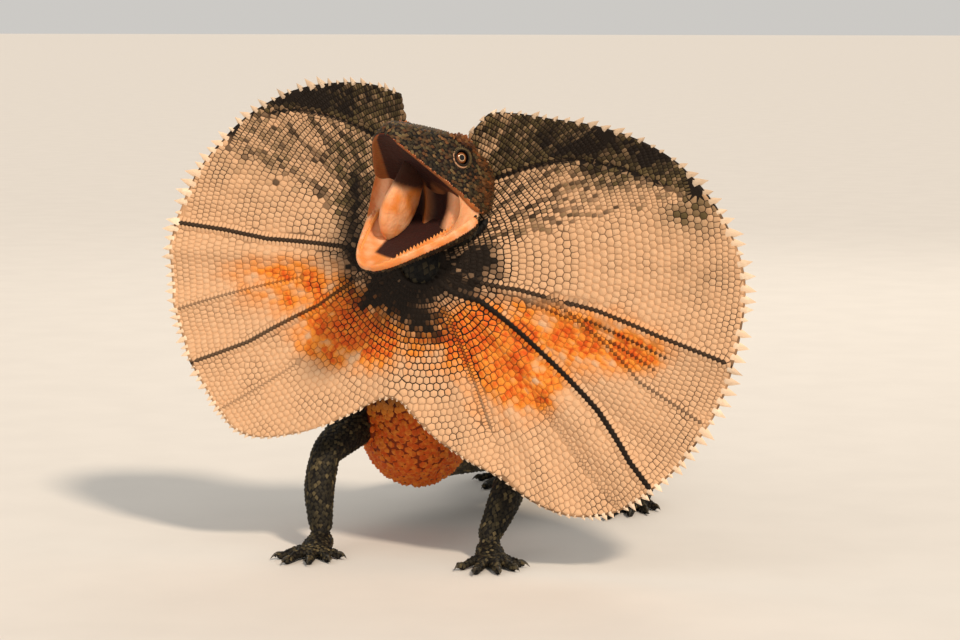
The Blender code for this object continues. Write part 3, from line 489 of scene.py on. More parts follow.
def frill_seeds(front, rng):
    """All seeds of one face: x, y, size and the painted shade of a crease, with regular ones
    clear of the creases.
    """
    rows = np.concatenate([frill_rows(*field, 1.0 if front else 1.5, rng)
                           for field in SCALE_FIELDS])
    seeds = np.column_stack((polar(rows[:, 0], rows[:, 1]), rows[:, 2], 0 * rows[:, 2]))
    if not front:
        return seeds
    added = np.empty((0, 4))
    for crease in CREASES:
        strip, middle, reach = crease_rows(crease)
        for old in (seeds, added):
            away = np.min(np.linalg.norm(old[:, None, :2] - middle[None], axis=2), axis=1) \
                if len(old) else np.empty(0)
            clear = away > reach + 0.42 * old[:, 2]
            if old is seeds:
                seeds = seeds[clear]
            else:
                added = added[clear]
        added = np.concatenate((added, strip))
    radius = np.linalg.norm(added[:, :2], axis=1)
    return np.concatenate((seeds, added[radius > FRILL_HIDDEN + 0.5]))


def frill_guards():
    """Places just outside the frill that end its outermost cells."""
    angle = np.arange(FRILL_START, FRILL_END - 0.1, -0.8)
    rim = polar(angle, edge_radius(angle) + 1.0)
    radius = np.arange(10, 80, 1.2)
    return np.concatenate((rim, polar(angle[::3], np.full(len(angle[::3]), 10.5)),
                           polar(np.full(len(radius), FRILL_START + 2), radius),
                           polar(np.full(len(radius), FRILL_END - 2), radius)))


def voronoi_cells(at, guards):
    """Corners of the cell round each place: place, corner x, corner y, in order round it."""
    every = np.concatenate((at[:, :2], guards))
    points, _, triangles, origins, _, _ = delaunay_2d_cdt(
        [Vector(p) for p in every], [], [], 0, 0.001)
    points = np.array([tuple(p) for p in points])
    origin = np.array([o[0] if o else -1 for o in origins])
    corners = np.array([t for t in triangles if len(t) == 3])
    a, b, c = (points[corners[:, k]] for k in range(3))
    b, c = b - a, c - a
    area = 2 * (b[:, 0] * c[:, 1] - b[:, 1] * c[:, 0])
    area = np.where(np.abs(area) < 1e-6, 1e-6, area)
    b2, c2 = (b * b).sum(1), (c * c).sum(1)
    centre = a + np.stack((c[:, 1] * b2 - b[:, 1] * c2, b[:, 0] * c2 - c[:, 0] * b2), -1) \
        / area[:, None]
    owner = origin[corners].ravel()
    spots_at = np.repeat(centre, 3, axis=0)
    good = (owner >= 0) & (owner < len(at))
    owner, spots_at = owner[good], spots_at[good]
    off = spots_at - at[owner, :2]
    far = np.linalg.norm(off, axis=1)
    limit = 0.75 * at[owner, 2]
    off = off * np.minimum(1, limit / np.maximum(far, 1e-6))[:, None]
    order = np.lexsort((np.arctan2(off[:, 1], off[:, 0]), owner))
    return owner[order], off[order]


def frill_cells(name, at, cells, side, front, rng):
    """Thin plates with bevelled rims over cells on one face of the frill."""
    owner, off = cells
    owner, off = owner[side[owner]], off[side[owner]]
    ids, start, count = np.unique(owner, return_index=True, return_counts=True)
    cell = np.repeat(np.arange(len(ids)), count)
    size = at[ids, 2]
    gap = np.minimum(0.15 / size, 0.10)
    gap = gap * (1 + 1.4 * bell(np.linalg.norm(at[ids, :2], axis=1) / 48))
    rims = [at[owner, :2] + off * (1 - gap[cell] * k)[:, None] for k in (0.8, 3.0)]
    middle = at[ids, :2]
    lifts = (np.full(len(owner), -0.10), np.full(len(owner), 0.13), np.full(len(ids), 0.19),
             np.full(len(ids), -0.3))
    flat = np.concatenate((*rims, middle, middle))
    lift = np.concatenate(lifts)
    angle, share = frill_polar(flat)
    way = 1.0 if front else -1.0
    places = frill_places(angle, share, way * (frill_thickness(share) / 2 + lift))
    corners = len(owner)
    follow = np.arange(corners) + 1
    follow[start + count - 1] = start
    here = np.arange(corners)
    top, bottom = 2 * corners + cell, 2 * corners + len(ids) + cell
    faces = np.concatenate((np.stack((here, follow, follow + corners), -1),
                            np.stack((here, follow + corners, here + corners), -1),
                            np.stack((here + corners, follow + corners, top), -1),
                            np.stack((follow, here, bottom), -1)))
    if front:
        faces = faces[:, ::-1]
    mesh = new_mesh(name, to_row(places), faces)
    own = np.concatenate((cell, cell, np.arange(len(ids)), np.arange(len(ids))))
    marks = frill_marks(angle, share, places, front)
    angle_of, share_of = frill_polar(middle)
    plate = frill_marks(angle_of, share_of, frill_places(angle_of, share_of), front)
    plate[:, 3] = np.clip(plate[:, 3] * rng.uniform(0.55, 1.5, len(ids)), 0, 1)
    rim = np.zeros(len(own))
    rim[:corners] = 1.0
    speckle = np.clip(0.6 + 1.3 * blotches(places, 2.2, 11), 0, 1)
    own_dark = np.clip(plate[:, 1] * 1.3 - rng.uniform(0, 0.35, len(ids)), 0, 1)
    if front:
        share_dark = peppered(angle_of, share_of)
        hit = rng.random(len(ids)) < share_dark
        own_dark[hit] = np.maximum(own_dark[hit], rng.uniform(0.35, 0.9, hit.sum()))
        hit = rng.random(len(ids)) < share_dark
        plate[hit, 3] = np.maximum(plate[hit, 3], rng.uniform(0.25, 0.8, hit.sum()))
    dark = np.maximum(own_dark[own], rim * plate[own, 2] * speckle)
    # Painted shade of a crease, carried by the seeds along it
    dark = np.maximum(dark, at[ids, 3][own])
    warm = 0.5 * (marks[:, 0] + plate[own, 0])
    values = np.stack((warm, dark, plate[own, 2], plate[own, 3]), -1)
    set_attribute(mesh, "marks", "FLOAT_COLOR", values)
    set_attribute(mesh, "shade", "FLOAT", rng.random(len(ids))[own])
    root = middle[own] / 320 + 0.5
    patch = (flat - middle[own]) / (2 * size[own])[:, None]
    add_uv(mesh, root + patch * bpy.context.scene.lizard_sizes.patch)
    return mesh


def add_uv(mesh, values):
    """A map for baking from one value per vertex."""
    layer = mesh.uv_layers.new(name="OFBake")
    layer.uv.foreach_set("vector", values[mesh_corners(mesh)].astype(np.float32).ravel())


def set_attribute(mesh, name, kind, values):
    """A point attribute; kind is FLOAT, FLOAT_VECTOR, FLOAT_COLOR or FLOAT2."""
    attribute = mesh.attributes.new(name, kind, "POINT")
    field = {"FLOAT": "value", "FLOAT_COLOR": "color"}.get(kind, "vector")
    attribute.data.foreach_set(field, np.asarray(values, np.float32).ravel())


def read_rows(items, key, width, kind=np.float32):
    """One property of each vertex, face or corner of a mesh, a row for each."""
    values = np.empty(len(items) * width, kind)
    items.foreach_get(key, values)
    return values.reshape(-1, width)


def mesh_places(mesh):
    return read_rows(mesh.vertices, "co", 3).astype(float)


def mesh_normals(mesh):
    return read_rows(mesh.vertex_normals, "vector", 3).astype(float)


def mesh_corners(mesh):
    """The vertex at each corner of each face."""
    return read_rows(mesh.loops, "vertex_index", 1, np.int32)[:, 0]


def new_mesh(name, places, faces, smooth=True):
    mesh = bpy.data.meshes.new(name)
    mesh.from_pydata([tuple(p) for p in places], [], [tuple(map(int, f)) for f in faces])
    mesh.update()
    if smooth:
        mesh.shade_smooth()
    return mesh


def outward(mesh):
    """Turn the faces of a mesh's closed shells outwards."""
    shell = bmesh.new()
    shell.from_mesh(mesh)
    bmesh.ops.recalc_face_normals(shell, faces=shell.faces)
    shell.to_mesh(mesh)
    shell.free()


def add_object(name, data):
    obj = bpy.data.objects.new(name, data)
    bpy.context.scene.collection.objects.link(obj)
    return obj


def new_piece(name, mesh, materials, nodes=()):
    """A piece of the lizard that rides on it, with its materials, and what it stands for."""
    piece = add_object(name, mesh)
    mesh.materials.clear()
    for material in materials:
        mesh.materials.append(material)
    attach(piece, "root")
    if nodes:
        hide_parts(*nodes)
    return piece


def evaluated(mesh, modifiers):
    """The mesh after modifiers, each given as its type and settings."""
    carrier = add_object("carrier", mesh)
    for kind, settings in modifiers:
        modifier = carrier.modifiers.new(kind.lower(), kind)
        for key, value in settings.items():
            setattr(modifier, key, value)
    graph = bpy.context.evaluated_depsgraph_get()
    result = bpy.data.meshes.new_from_object(carrier.evaluated_get(graph))
    bpy.data.objects.remove(carrier)
    return result


def tube_faces(start, rings, sides, ends=True):
    """Faces between rings of places, and over both ends if they are to be closed."""
    faces = []
    for first in range(start, start + (rings - 1) * sides, sides):
        for k in range(sides):
            a, b = first + k, first + (k + 1) % sides
            faces.append((a, b, b + sides, a + sides))
    if ends:
        last = start + (rings - 1) * sides
        faces += [tuple(range(start, start + sides))[::-1], tuple(range(last, last + sides))]
    return faces


def throat_flesh():
    """Flesh of the throat between the neck and the frill's root, closed at both ends."""
    around = np.arange(-260.0, 100.0, 10.0)
    front = frill_places(around, FRILL_HIDDEN / edge_radius(around))
    turn = np.radians(around)
    back = np.stack((13.5 * np.cos(turn) - 3, np.full(len(turn), 17.0),
                     13.5 * np.sin(turn) + 122), -1)
    count, rings = len(around), 8
    places = [front + (back - front) * t for t in np.linspace(0, 1, rings)]
    places += [front.mean(axis=0, keepdims=True) - (0, 1.5, 0), back.mean(axis=0, keepdims=True)]
    faces = tube_faces(0, rings, count, False)
    for cap, first in ((rings * count, 0), (rings * count + 1, (rings - 1) * count)):
        faces += [(first + k, first + (k + 1) % count, cap) for k in range(count)]
    mesh = new_mesh("throat", to_row(np.concatenate(places)), faces)
    outward(mesh)
    return mesh


def merged_flesh(nodes, swell, more=()):
    """Copies of nodes in one mesh, each merged and swollen so that neighbours overlap."""
    whole = bmesh.new()
    for mesh in more:
        whole.from_mesh(mesh)
        bpy.data.meshes.remove(mesh)
    for node in nodes:
        part = bmesh.new()
        part.from_mesh(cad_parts[node].data)
        bmesh.ops.remove_doubles(part, verts=part.verts, dist=MERGE_REACH)
        part.normal_update()
        for vertex in part.verts:
            vertex.co += vertex.normal * swell
        mesh = bpy.data.meshes.new("copy")
        part.to_mesh(mesh)
        part.free()
        whole.from_mesh(mesh)
        bpy.data.meshes.remove(mesh)
    mesh = bpy.data.meshes.new("flesh")
    whole.to_mesh(mesh)
    whole.free()
    return mesh


def voxel_skin(nodes, voxel, smoothing, swell, more=()):
    """One closed skin round nodes, and more meshes if there are any."""
    return evaluated(merged_flesh(nodes, swell, more), (
        ("REMESH", {"mode": "VOXEL", "voxel_size": voxel, "use_smooth_shade": True}),
        ("SMOOTH", {"factor": 0.5, "iterations": smoothing}),
    ))


def axis_samples():
    """Places, directions and radii along the spine and the legs, and which is a leg."""
    rows = []
    for line, leg in ((SPINE, 0), *((points, 1) for points in LEGS)):
        places = np.linspace(0, len(line) - 1, len(line) * 9)
        here = catmull(line, places)
        along = unit(np.gradient(here[:, :3], axis=0))
        share = places / (len(line) - 1)
        rows.append(np.column_stack((here, along, np.full(len(here), leg), share)))
    return np.concatenate(rows)


def along_body(places):
    """For each place the direction of the nearest length, whether a leg, and how far down."""
    samples = axis_samples()
    result = np.empty((len(places), 5))
    for start in range(0, len(places), 4000):
        chunk = places[start:start + 4000]
        away = np.linalg.norm(chunk[:, None] - samples[None, :, :3], axis=2)
        nearest = samples[np.argmin(away - samples[None, :, 3], axis=1)]
        result[start:start + 4000] = nearest[:, 4:]
    return result


def flecked(marks, rng, strength):
    """The marks of single scales, from darker to much paler than the skin round them."""
    draw = rng.random(len(marks))
    marks = marks.copy()
    marks[:, 3] = np.clip(marks[:, 3] * 0.6 + strength * draw ** 5, 0, 1)
    marks[:, 1] = np.clip(marks[:, 1] + 0.5 * (0.4 - draw), 0, 1)
    return marks


def body_marks(places, lengths):
    """Warm, dark, net and pale amounts on neck, body, legs and tail; dark includes painted shadow
    under the head.
    """
    leg, down = lengths[:, 3], lengths[:, 4]
    patchy = blotches(places, 11.0, 4)
    fine = blotches(places, 2.6, 5)
    x, y, z = places.T
    chest = bell((x - CHEST_AT[0]) / 26, (z - CHEST_AT[1]) / 17) * np.clip((72 - y) / 26, 0, 1)
    warm = np.clip(chest * 3.2 * (1 - leg) * (1 + 0.4 * patchy), 0, 1)
    band = np.clip(np.sin(down * 62) * 1.6, 0, 1) * np.clip((down - 0.38) / 0.1, 0, 1)
    # Painted shadow of the head on the throat, darkest just under the jaw
    throat = np.clip((z - 92) / 14, 0, 1) * np.clip((24 - y) / 8, 0, 1)
    dark = 0.05 + 0.5 * patchy + 0.25 * fine + 0.45 * leg + 0.5 * band * (1 - leg) + throat
    net = 0.95 - 0.3 * warm
    pale = np.clip(0.22 + 0.3 * fine + 0.5 * patchy - 0.1 * leg - throat - warm, 0, 1)
    return np.clip(np.stack((warm, dark * (1 - 0.9 * warm), net, pale), -1), 0, 1)


def head_marks(places):
    """Rust, dark, net and pale amounts on the outside of the head; dark includes painted shade
    under the jaw and round each lid.
    """
    local = in_head(places, UPPER_TILT)
    x, y, z = np.abs(local[:, 0]), local[:, 1], local[:, 2]
    patchy = blotches(places, 6.0, 7)
    fine = blotches(places, 1.8, 8)
    brow = bell((x - BROW_AT[0]) / 6, (y - BROW_AT[1]) / 12, (z - BROW_AT[2]) / 3.2)
    temple = bell((y - 1) / 9, (z - 13) / 9) * np.clip(x / 16, 0, 1)
    warm = 0.6 * brow + 0.3 * temple + 0.5 * fine * (z > 0)
    # Painted shade on the underside of the lower jaw
    under = np.clip(-in_head(places, LOWER_TILT)[:, 2] / 5.0, 0, 1) * (z < 0)
    away = np.linalg.norm(np.column_stack((x, y, z)) - (EYE_AT[0], *EYE_AT[1:]), axis=1)
    # Painted shade in the crease round each lid's dome
    crease = bell((away - LID_RADIUS - 0.9) / 0.9)
    dark = 0.1 + 0.5 * patchy + 0.3 * fine + 0.8 * under + 0.8 * crease
    pale = 0.2 + 0.5 * fine + 0.4 * patchy
    net = np.full(len(places), 0.95)
    return np.clip(np.stack((warm, dark, net, pale), -1), 0, 1)


def table_value(table, ahead):
    table = np.array(table, float)
    return np.interp(ahead, table[:, 0], table[:, 1])


def palate_marks(local):
    """Roof of the mouth in painted shade, lighter along an orange strip inside the right lip."""
    across = local[:, 0] / table_value(LIP_WIDTHS, -local[:, 1])
    strip = np.clip((-across - 0.66) / 0.07, 0, 1)
    lip = np.clip((across - 0.84) / 0.08, 0, 1)
    groove = bell((across + 0.62) / 0.05)
    low = np.clip((15 + local[:, 1]) / 12, 0, 1) * (0.8 + 1.2 * blotches(local, 5.0, 12))
    seam = bell((across + 0.05 + 0.012 * local[:, 1]) / 0.05)
    warm = 0.7 + 0.3 * strip + 0.2 * lip
    # Painted shade over the roof, thinner at the strip, the lips and near the hinge, deeper in
    # the groove and seam
    dark = np.clip(1.0 - 0.3 * strip - 0.3 * lip - 0.4 * low + 0.3 * groove + 0.3 * seam, 0, 1)
    return np.stack((warm, dark, 0 * warm, 0 * warm), -1)


def jaw_marks(local):
    """Bright rim of the lower jaw round painted shade where the throat opens."""
    ahead = -local[:, 1]
    across = local[:, 0] / table_value(JAW_WIDTHS, ahead)
    # Painted shade over the floor of the mouth, standing in for the throat's dark opening
    painted_throat_shade = np.clip(np.minimum(0.74 - across, across + 0.34) / 0.07, 0, 1)
    painted_throat_shade = painted_throat_shade * np.clip((37.0 + 2.0 * across - ahead) / 1.6, 0, 1)
    warm = 0.42 + 0.3 * across + 0.2 * (ahead > 36) + 0.9 * blotches(local, 3.5, 13)
    warm = np.clip(warm - 0.4 * (across > 0.6) * (ahead < 14), 0, 0.85)
    return np.stack((warm, painted_throat_shade, 0 * warm, 0 * warm), -1)


def in_mouth(places, normals):
    """True where the skin of the head is the wet inside of the mouth or the jaws' rim."""
    upper = in_head(places, UPPER_TILT)
    turned = apply_matrix(head_matrix(UPPER_TILT).inverted().to_3x3().to_4x4(), normals)
    wide = table_value(LIP_WIDTHS, -upper[:, 1])
    palate = (turned[:, 2] < -0.25) & (upper[:, 2] < 6.0) & (upper[:, 2] > -2.0) \
        & (np.abs(upper[:, 0]) < wide * 0.97) & (upper[:, 1] < 8)
    lower = in_head(places, LOWER_TILT)
    rim = (lower[:, 2] > -3.4) & (lower[:, 2] < 3.0) & (lower[:, 1] < 6) & (lower[:, 1] > -49)
    floor = rim & (upper[:, 2] < -1.0)
    return palate | floor


def scatter(mesh, spacing, keep, rng):
    """Places and normals on a mesh, at least spacing apart, where keep says so."""
    mesh.calc_loop_triangles()
    triangles = read_rows(mesh.loop_triangles, "vertices", 3, np.int32)
    places, normals = mesh_places(mesh), mesh_normals(mesh)
    triangles = triangles[keep(places, normals)[triangles].all(axis=1)]
    a, b, c = (places[triangles[:, k]] for k in range(3))
    area = np.linalg.norm(np.cross(b - a, c - a), axis=1) / 2
    count = int(area.sum() / spacing ** 2 * 5)
    chosen = rng.choice(len(triangles), count, p=area / area.sum())
    u, v = rng.random(count), rng.random(count)
    u, v = np.where(u + v > 1, 1 - u, u), np.where(u + v > 1, 1 - v, v)
    spots_at = a[chosen] + u[:, None] * (b - a)[chosen] + v[:, None] * (c - a)[chosen]
    facing = unit(sum(normals[triangles[chosen, k]] for k in range(3)))
    tree = KDTree(count)
    for i, place in enumerate(spots_at):
        tree.insert(place, i)
    tree.balance()
    dropped, kept = np.zeros(count, bool), []
    for i in range(count):
        if dropped[i]:
            continue
        kept.append(i)
        for _, j, _ in tree.find_range(spots_at[i], spacing):
            dropped[j] = True
    return spots_at[kept], facing[kept]


def plate_mesh(name, outline, top, back):
    """A thin closed plate, length along X and width along Y, its top at a share of its length."""
    count = len(outline)
    places = [(x, y, 0.0) for x, y in outline] + [(back, 0.0, top), (0.0, 0.0, -0.35)]
    faces = [(i, (i + 1) % count, count) for i in range(count)]
    faces += [((i + 1) % count, i, count + 1) for i in range(count)]
    mesh = new_mesh(name, places, faces)
    patch = [(x + 0.5, y + 0.5, 0.0) for x, y, _ in places]
    set_attribute(mesh, "patch", "FLOAT_VECTOR", patch)
    return mesh


RHOMB = ((0.62, 0.0), (0.0, 0.5), (-0.5, 0.0), (0.0, -0.5))
HEXAGON = ((0.56, 0.0), (0.24, 0.47), (-0.28, 0.47), (-0.52, 0.0), (-0.28, -0.47),
           (0.24, -0.47))
SPINE_LEAF = ((1.0, 0.0), (0.3, 0.3), (-0.35, 0.5), (-0.5, 0.0), (-0.35, -0.5), (0.3, -0.3))


def add_node(tree, kind, inputs=(), **settings):
    """Add a node, with settings, and its inputs by name or number as values or sockets."""
    node = tree.nodes.new(kind)
    for key, value in settings.items():
        setattr(node, key, value)
    for key, value in dict(inputs).items():
        if isinstance(value, bpy.types.NodeSocket):
            tree.links.new(value, node.inputs[key])
        else:
            node.inputs[key].default_value = value
    return node


def coat_tree(material):
    """Nodes that set a plate on each seed, upright on the skin and along its lie."""
    tree = bpy.data.node_groups.new("coat", "GeometryNodeTree")
    sockets = (("Seeds", "NodeSocketGeometry"), ("Plate", "NodeSocketObject"),
               ("Patch", "NodeSocketFloat"), ("Jitter", "NodeSocketFloat"),
               ("Seed", "NodeSocketInt"))
    for label, kind in sockets:
        tree.interface.new_socket(label, in_out="INPUT", socket_type=kind)
    tree.interface.new_socket("Coat", in_out="OUTPUT", socket_type="NodeSocketGeometry")
    start = add_node(tree, "NodeGroupInput").outputs

    def named(name, kind="FLOAT_VECTOR"):
        node = add_node(tree, "GeometryNodeInputNamedAttribute", {"Name": name}, data_type=kind)
        return node.outputs["Attribute"]

    shade = add_node(tree, "FunctionNodeRandomValue", {"Seed": start["Seed"]})
    shaded = add_node(tree, "GeometryNodeStoreNamedAttribute",
                      {"Geometry": start["Seeds"], "Name": "shade",
                       "Value": shade.outputs["Value"]}, data_type="FLOAT", domain="POINT")
    sway = add_node(tree, "FunctionNodeRandomValue",
                    {"Min": (-1, -1, -1), "Max": (1, 1, 1), "Seed": start["Seed"]},
                    data_type="FLOAT_VECTOR")
    sway = add_node(tree, "ShaderNodeVectorMath", {0: sway.outputs[0], "Scale": start["Jitter"]},
                    operation="SCALE")
    lie = add_node(tree, "ShaderNodeVectorMath", {0: named("lie"), 1: sway.outputs[0]},
                   operation="ADD")
    turn = add_node(tree, "FunctionNodeAxesToRotation",
                    {"Primary Axis": named("up"), "Secondary Axis": lie.outputs[0]})
    plate = add_node(tree, "GeometryNodeObjectInfo", {"Object": start["Plate"]})
    placed = add_node(tree, "GeometryNodeInstanceOnPoints", {
        "Points": shaded.outputs["Geometry"], "Instance": plate.outputs["Geometry"],
        "Rotation": turn.outputs["Rotation"], "Scale": named("size")})
    real = add_node(tree, "GeometryNodeRealizeInstances",
                    {"Geometry": placed.outputs["Instances"]})
    spread = add_node(tree, "ShaderNodeVectorMath", {0: named("patch"), "Scale": start["Patch"]},
                      operation="SCALE")
    mapped = add_node(tree, "ShaderNodeVectorMath", {0: named("root"), 1: spread.outputs[0]},
                      operation="ADD")
    stored = add_node(tree, "GeometryNodeStoreNamedAttribute",
                      {"Geometry": real.outputs["Geometry"], "Name": "OFBake",
                       "Value": mapped.outputs[0]}, data_type="FLOAT2", domain="CORNER")
    done = add_node(tree, "GeometryNodeSetMaterial",
                    {"Geometry": stored.outputs["Geometry"], "Material": material})
    add_node(tree, "NodeGroupOutput", {"Coat": done.outputs["Geometry"]})
    return tree


def coat(name, seeds, plate, material, jitter=0.12, nodes=()):
    """A piece of many plates set on seeds: places, up, lie, size, marks and root."""
    sizes = bpy.context.scene.lizard_sizes
    mesh = bpy.data.meshes.new(name)
    mesh.from_pydata([tuple(p) for p in seeds["places"]], [], [])
    for key in ("up", "lie", "size", "root"):
        set_attribute(mesh, key, "FLOAT_VECTOR", seeds[key])
    set_attribute(mesh, "marks", "FLOAT_COLOR", seeds["marks"])
    carrier, holder = add_object(name, mesh), add_object(name + "_plate", plate)
    modifier = carrier.modifiers.new("coat", "NODES")
    tree = coat_tree(material)
    modifier.node_group = tree
    values = {"Plate": holder, "Patch": sizes.patch, "Jitter": jitter, "Seed": sizes.seed}
    for socket in tree.interface.items_tree:
        if socket.name in values:
            modifier[socket.identifier] = values[socket.name]
    graph = bpy.context.evaluated_depsgraph_get()
    result = bpy.data.meshes.new_from_object(carrier.evaluated_get(graph))
    carrier.modifiers.remove(modifier)
    for obj in (carrier, holder):
        bpy.data.objects.remove(obj)
    bpy.data.node_groups.remove(tree)
    for key in ("up", "lie", "size", "root", "patch"):
        if key in result.attributes:
            result.attributes.remove(result.attributes[key])
    at = mesh_places(result)
    at[:, 2] = np.maximum(at[:, 2], SCALE_LOWEST)
    result.vertices.foreach_set("co", at.astype(np.float32).ravel())
    result.shade_smooth()
    result.set_sharp_from_angle(angle=math.radians(60))
    return new_piece(name, result, [material], nodes)


def new_material(name):
    material = bpy.data.materials.new(name)
    material.use_nodes = True
    material.node_tree.nodes.clear()
    return material, material.node_tree


def rgba(value):
    return (*value[:3], 1.0)


def mix_colour(tree, share, first, second):
    node = add_node(tree, "ShaderNodeMix", {"Factor": share}, data_type="RGBA")
    for key, value in ((6, first), (7, second)):
        if isinstance(value, bpy.types.NodeSocket):
            tree.links.new(value, node.inputs[key])
        else:
            node.inputs[key].default_value = rgba(value)
    return node.outputs[2]


def noise_value(tree, millimetres, detail=3.0, low=0.35, high=0.65):
    """Noise with features of that size, stretched between low and high to 0 and 1."""
    where = add_node(tree, "ShaderNodeTexCoord").outputs["Object"]
    grain = add_node(tree, "ShaderNodeTexNoise",
                     {"Vector": where, "Scale": 1 / (millimetres * MM), "Detail": detail})
    span = add_node(tree, "ShaderNodeMapRange",
                    {"Value": grain.outputs[0], "From Min": low, "From Max": high})
    return span.outputs["Result"]


def math_value(tree, operation, *values):
    """Result of a clamped sum on values or sockets."""
    return add_node(tree, "ShaderNodeMath", dict(enumerate(values)), operation=operation,
                    use_clamp=operation != "SUBTRACT").outputs[0]


def finish_material(tree, base, rough, height, bump_mm, strength, **constants):
    """Principled shader with a bump from a height socket and constants on its sockets."""
    bump = add_node(tree, "ShaderNodeBump",
                    {"Height": height, "Distance": bump_mm * MM, "Strength": strength})
    shader = add_node(tree, "ShaderNodeBsdfPrincipled",
                      {"Base Color": base, "Roughness": rough, "Normal": bump.outputs[0]})
    for label, value in constants.items():
        shader.inputs[label.replace("_", " ").title().replace("Ior", "IOR")].default_value = value
    add_node(tree, "ShaderNodeOutputMaterial", {"Surface": shader.outputs[0]})


def marked_skin(name, base, base_deep, warm, warm_deep, pale, dark, plates, rough=0.55):
    """Keratin scales, or the dry thin skin between them, with the markings and painted shade they
    carry.
    """
    material, tree = new_material(name)
    marks = add_node(tree, "ShaderNodeAttribute", attribute_name="marks")
    split = add_node(tree, "ShaderNodeSeparateColor", {"Color": marks.outputs["Color"]})
    red, green, blue = split.outputs
    mottle = noise_value(tree, 2.5)
    own = mottle
    if plates:
        own = add_node(tree, "ShaderNodeAttribute", attribute_name="shade").outputs["Fac"]
    part = math_value(tree, "MULTIPLY", math_value(tree, "ADD", own, mottle), 0.5)
    ground = mix_colour(tree, part, base, base_deep)
    hot = math_value(tree, "MULTIPLY_ADD", red, 2.2, math_value(tree, "SUBTRACT", mottle, 2.0))
    glow = mix_colour(tree, hot, warm, warm_deep)
    body = mix_colour(tree, marks.outputs["Alpha"], ground, pale)
    body = mix_colour(tree, math_value(tree, "MULTIPLY", red, 1.5), body, glow)
    # Dark markings, the net between scales and painted shade all mix towards the dark colour here
    dark_and_painted_shade = green if plates else math_value(tree, "MAXIMUM", green, blue)
    body = mix_colour(tree, dark_and_painted_shade, body, dark)
    grain = noise_value(tree, 0.5, 2.0, 0.3, 0.7)
    finish_material(tree, body, rough, grain, 0.25, 0.5, specular_ior_level=0.2)
    return material


def wet_flesh(name, pale, warm, deep, rough=0.3):
    """Wet lining of a mouth: smooth, softly lit from within, and darkened by the painted shade in
    its marks down the throat and on the palate.
    """
    material, tree = new_material(name)
    marks = add_node(tree, "ShaderNodeAttribute", attribute_name="marks")
    split = add_node(tree, "ShaderNodeSeparateColor", {"Color": marks.outputs["Color"]})
    mottle = noise_value(tree, 5.0)
    base = mix_colour(tree, mottle, pale, mix_colour(tree, 0.35, pale, warm))
    base = mix_colour(tree, split.outputs["Red"], base, warm)
    base = mix_colour(tree, split.outputs["Green"], base, deep)
    dull = math_value(tree, "MULTIPLY_ADD", split.outputs["Green"], 0.5, rough)
    grain = noise_value(tree, 1.4, 3.0, 0.3, 0.7)
    finish_material(tree, base, dull, grain, 0.4, 0.45, subsurface_weight=0.25,
                    subsurface_scale=0.003, specular_ior_level=0.35)
    return material


def claw_horn(name, dark, pale):
    """Claw horn: hard, dark and a little glossy."""
    material, tree = new_material(name)
    base = mix_colour(tree, noise_value(tree, 1.5), dark, mix_colour(tree, 0.3, dark, pale))
    finish_material(tree, base, 0.32, noise_value(tree, 0.6), 0.1, 0.3)
    return material


def tooth_enamel(name, tooth, gum):
    """Tooth enamel: ivory, stained towards the gum."""
    material, tree = new_material(name)
    base = mix_colour(tree, noise_value(tree, 1.2), tooth, mix_colour(tree, 0.25, tooth, gum))
    finish_material(tree, base, 0.35, noise_value(tree, 0.5), 0.05, 0.3)
    return material


def eye_surface(name, colours):
    """Wet eye: black pupil, pale ring, copper iris and dark rim under a clear cornea."""
    material, tree = new_material(name)
    gaze = add_node(tree, "ShaderNodeAttribute", attribute_name="gaze")
    ramp = add_node(tree, "ShaderNodeValToRGB", {"Fac": gaze.outputs["Fac"]})
    stops = ((0.0, colours.black), (0.14, colours.black), (0.152, colours.iris_pale),
             (0.172, colours.iris_pale), (0.19, colours.iris), (0.27, colours.iris),
             (0.30, colours.black), (0.6, colours.black))
    elements = ramp.color_ramp.elements
    elements[0].position, elements[1].position = stops[0][0], stops[-1][0]
    elements[0].color, elements[1].color = rgba(stops[0][1]), rgba(stops[-1][1])
    for place, value in stops[1:-1]:
        elements.new(place).color = rgba(value)
    streaks = noise_value(tree, 0.35)
    base = mix_colour(tree, add_node(tree, "ShaderNodeMath", {0: streaks, 1: 0.3},
                                     operation="MULTIPLY").outputs[0],
                      ramp.outputs["Color"], colours.black)
    finish_material(tree, base, 0.08, streaks, 0.02, 0.1, coat_weight=0.35, coat_roughness=0.03,
                    specular_ior_level=0.3)
    return material


def studio_paint(name, code):
    """Matt studio paper."""
    material, tree = new_material(name)
    tone = linear(code)
    soft = tuple(c * 0.97 for c in tone)
    base = mix_colour(tree, noise_value(tree, 40.0), tone, soft)
    finish_material(tree, base, 0.8, noise_value(tree, 0.8), 0.02, 0.1)
    return material


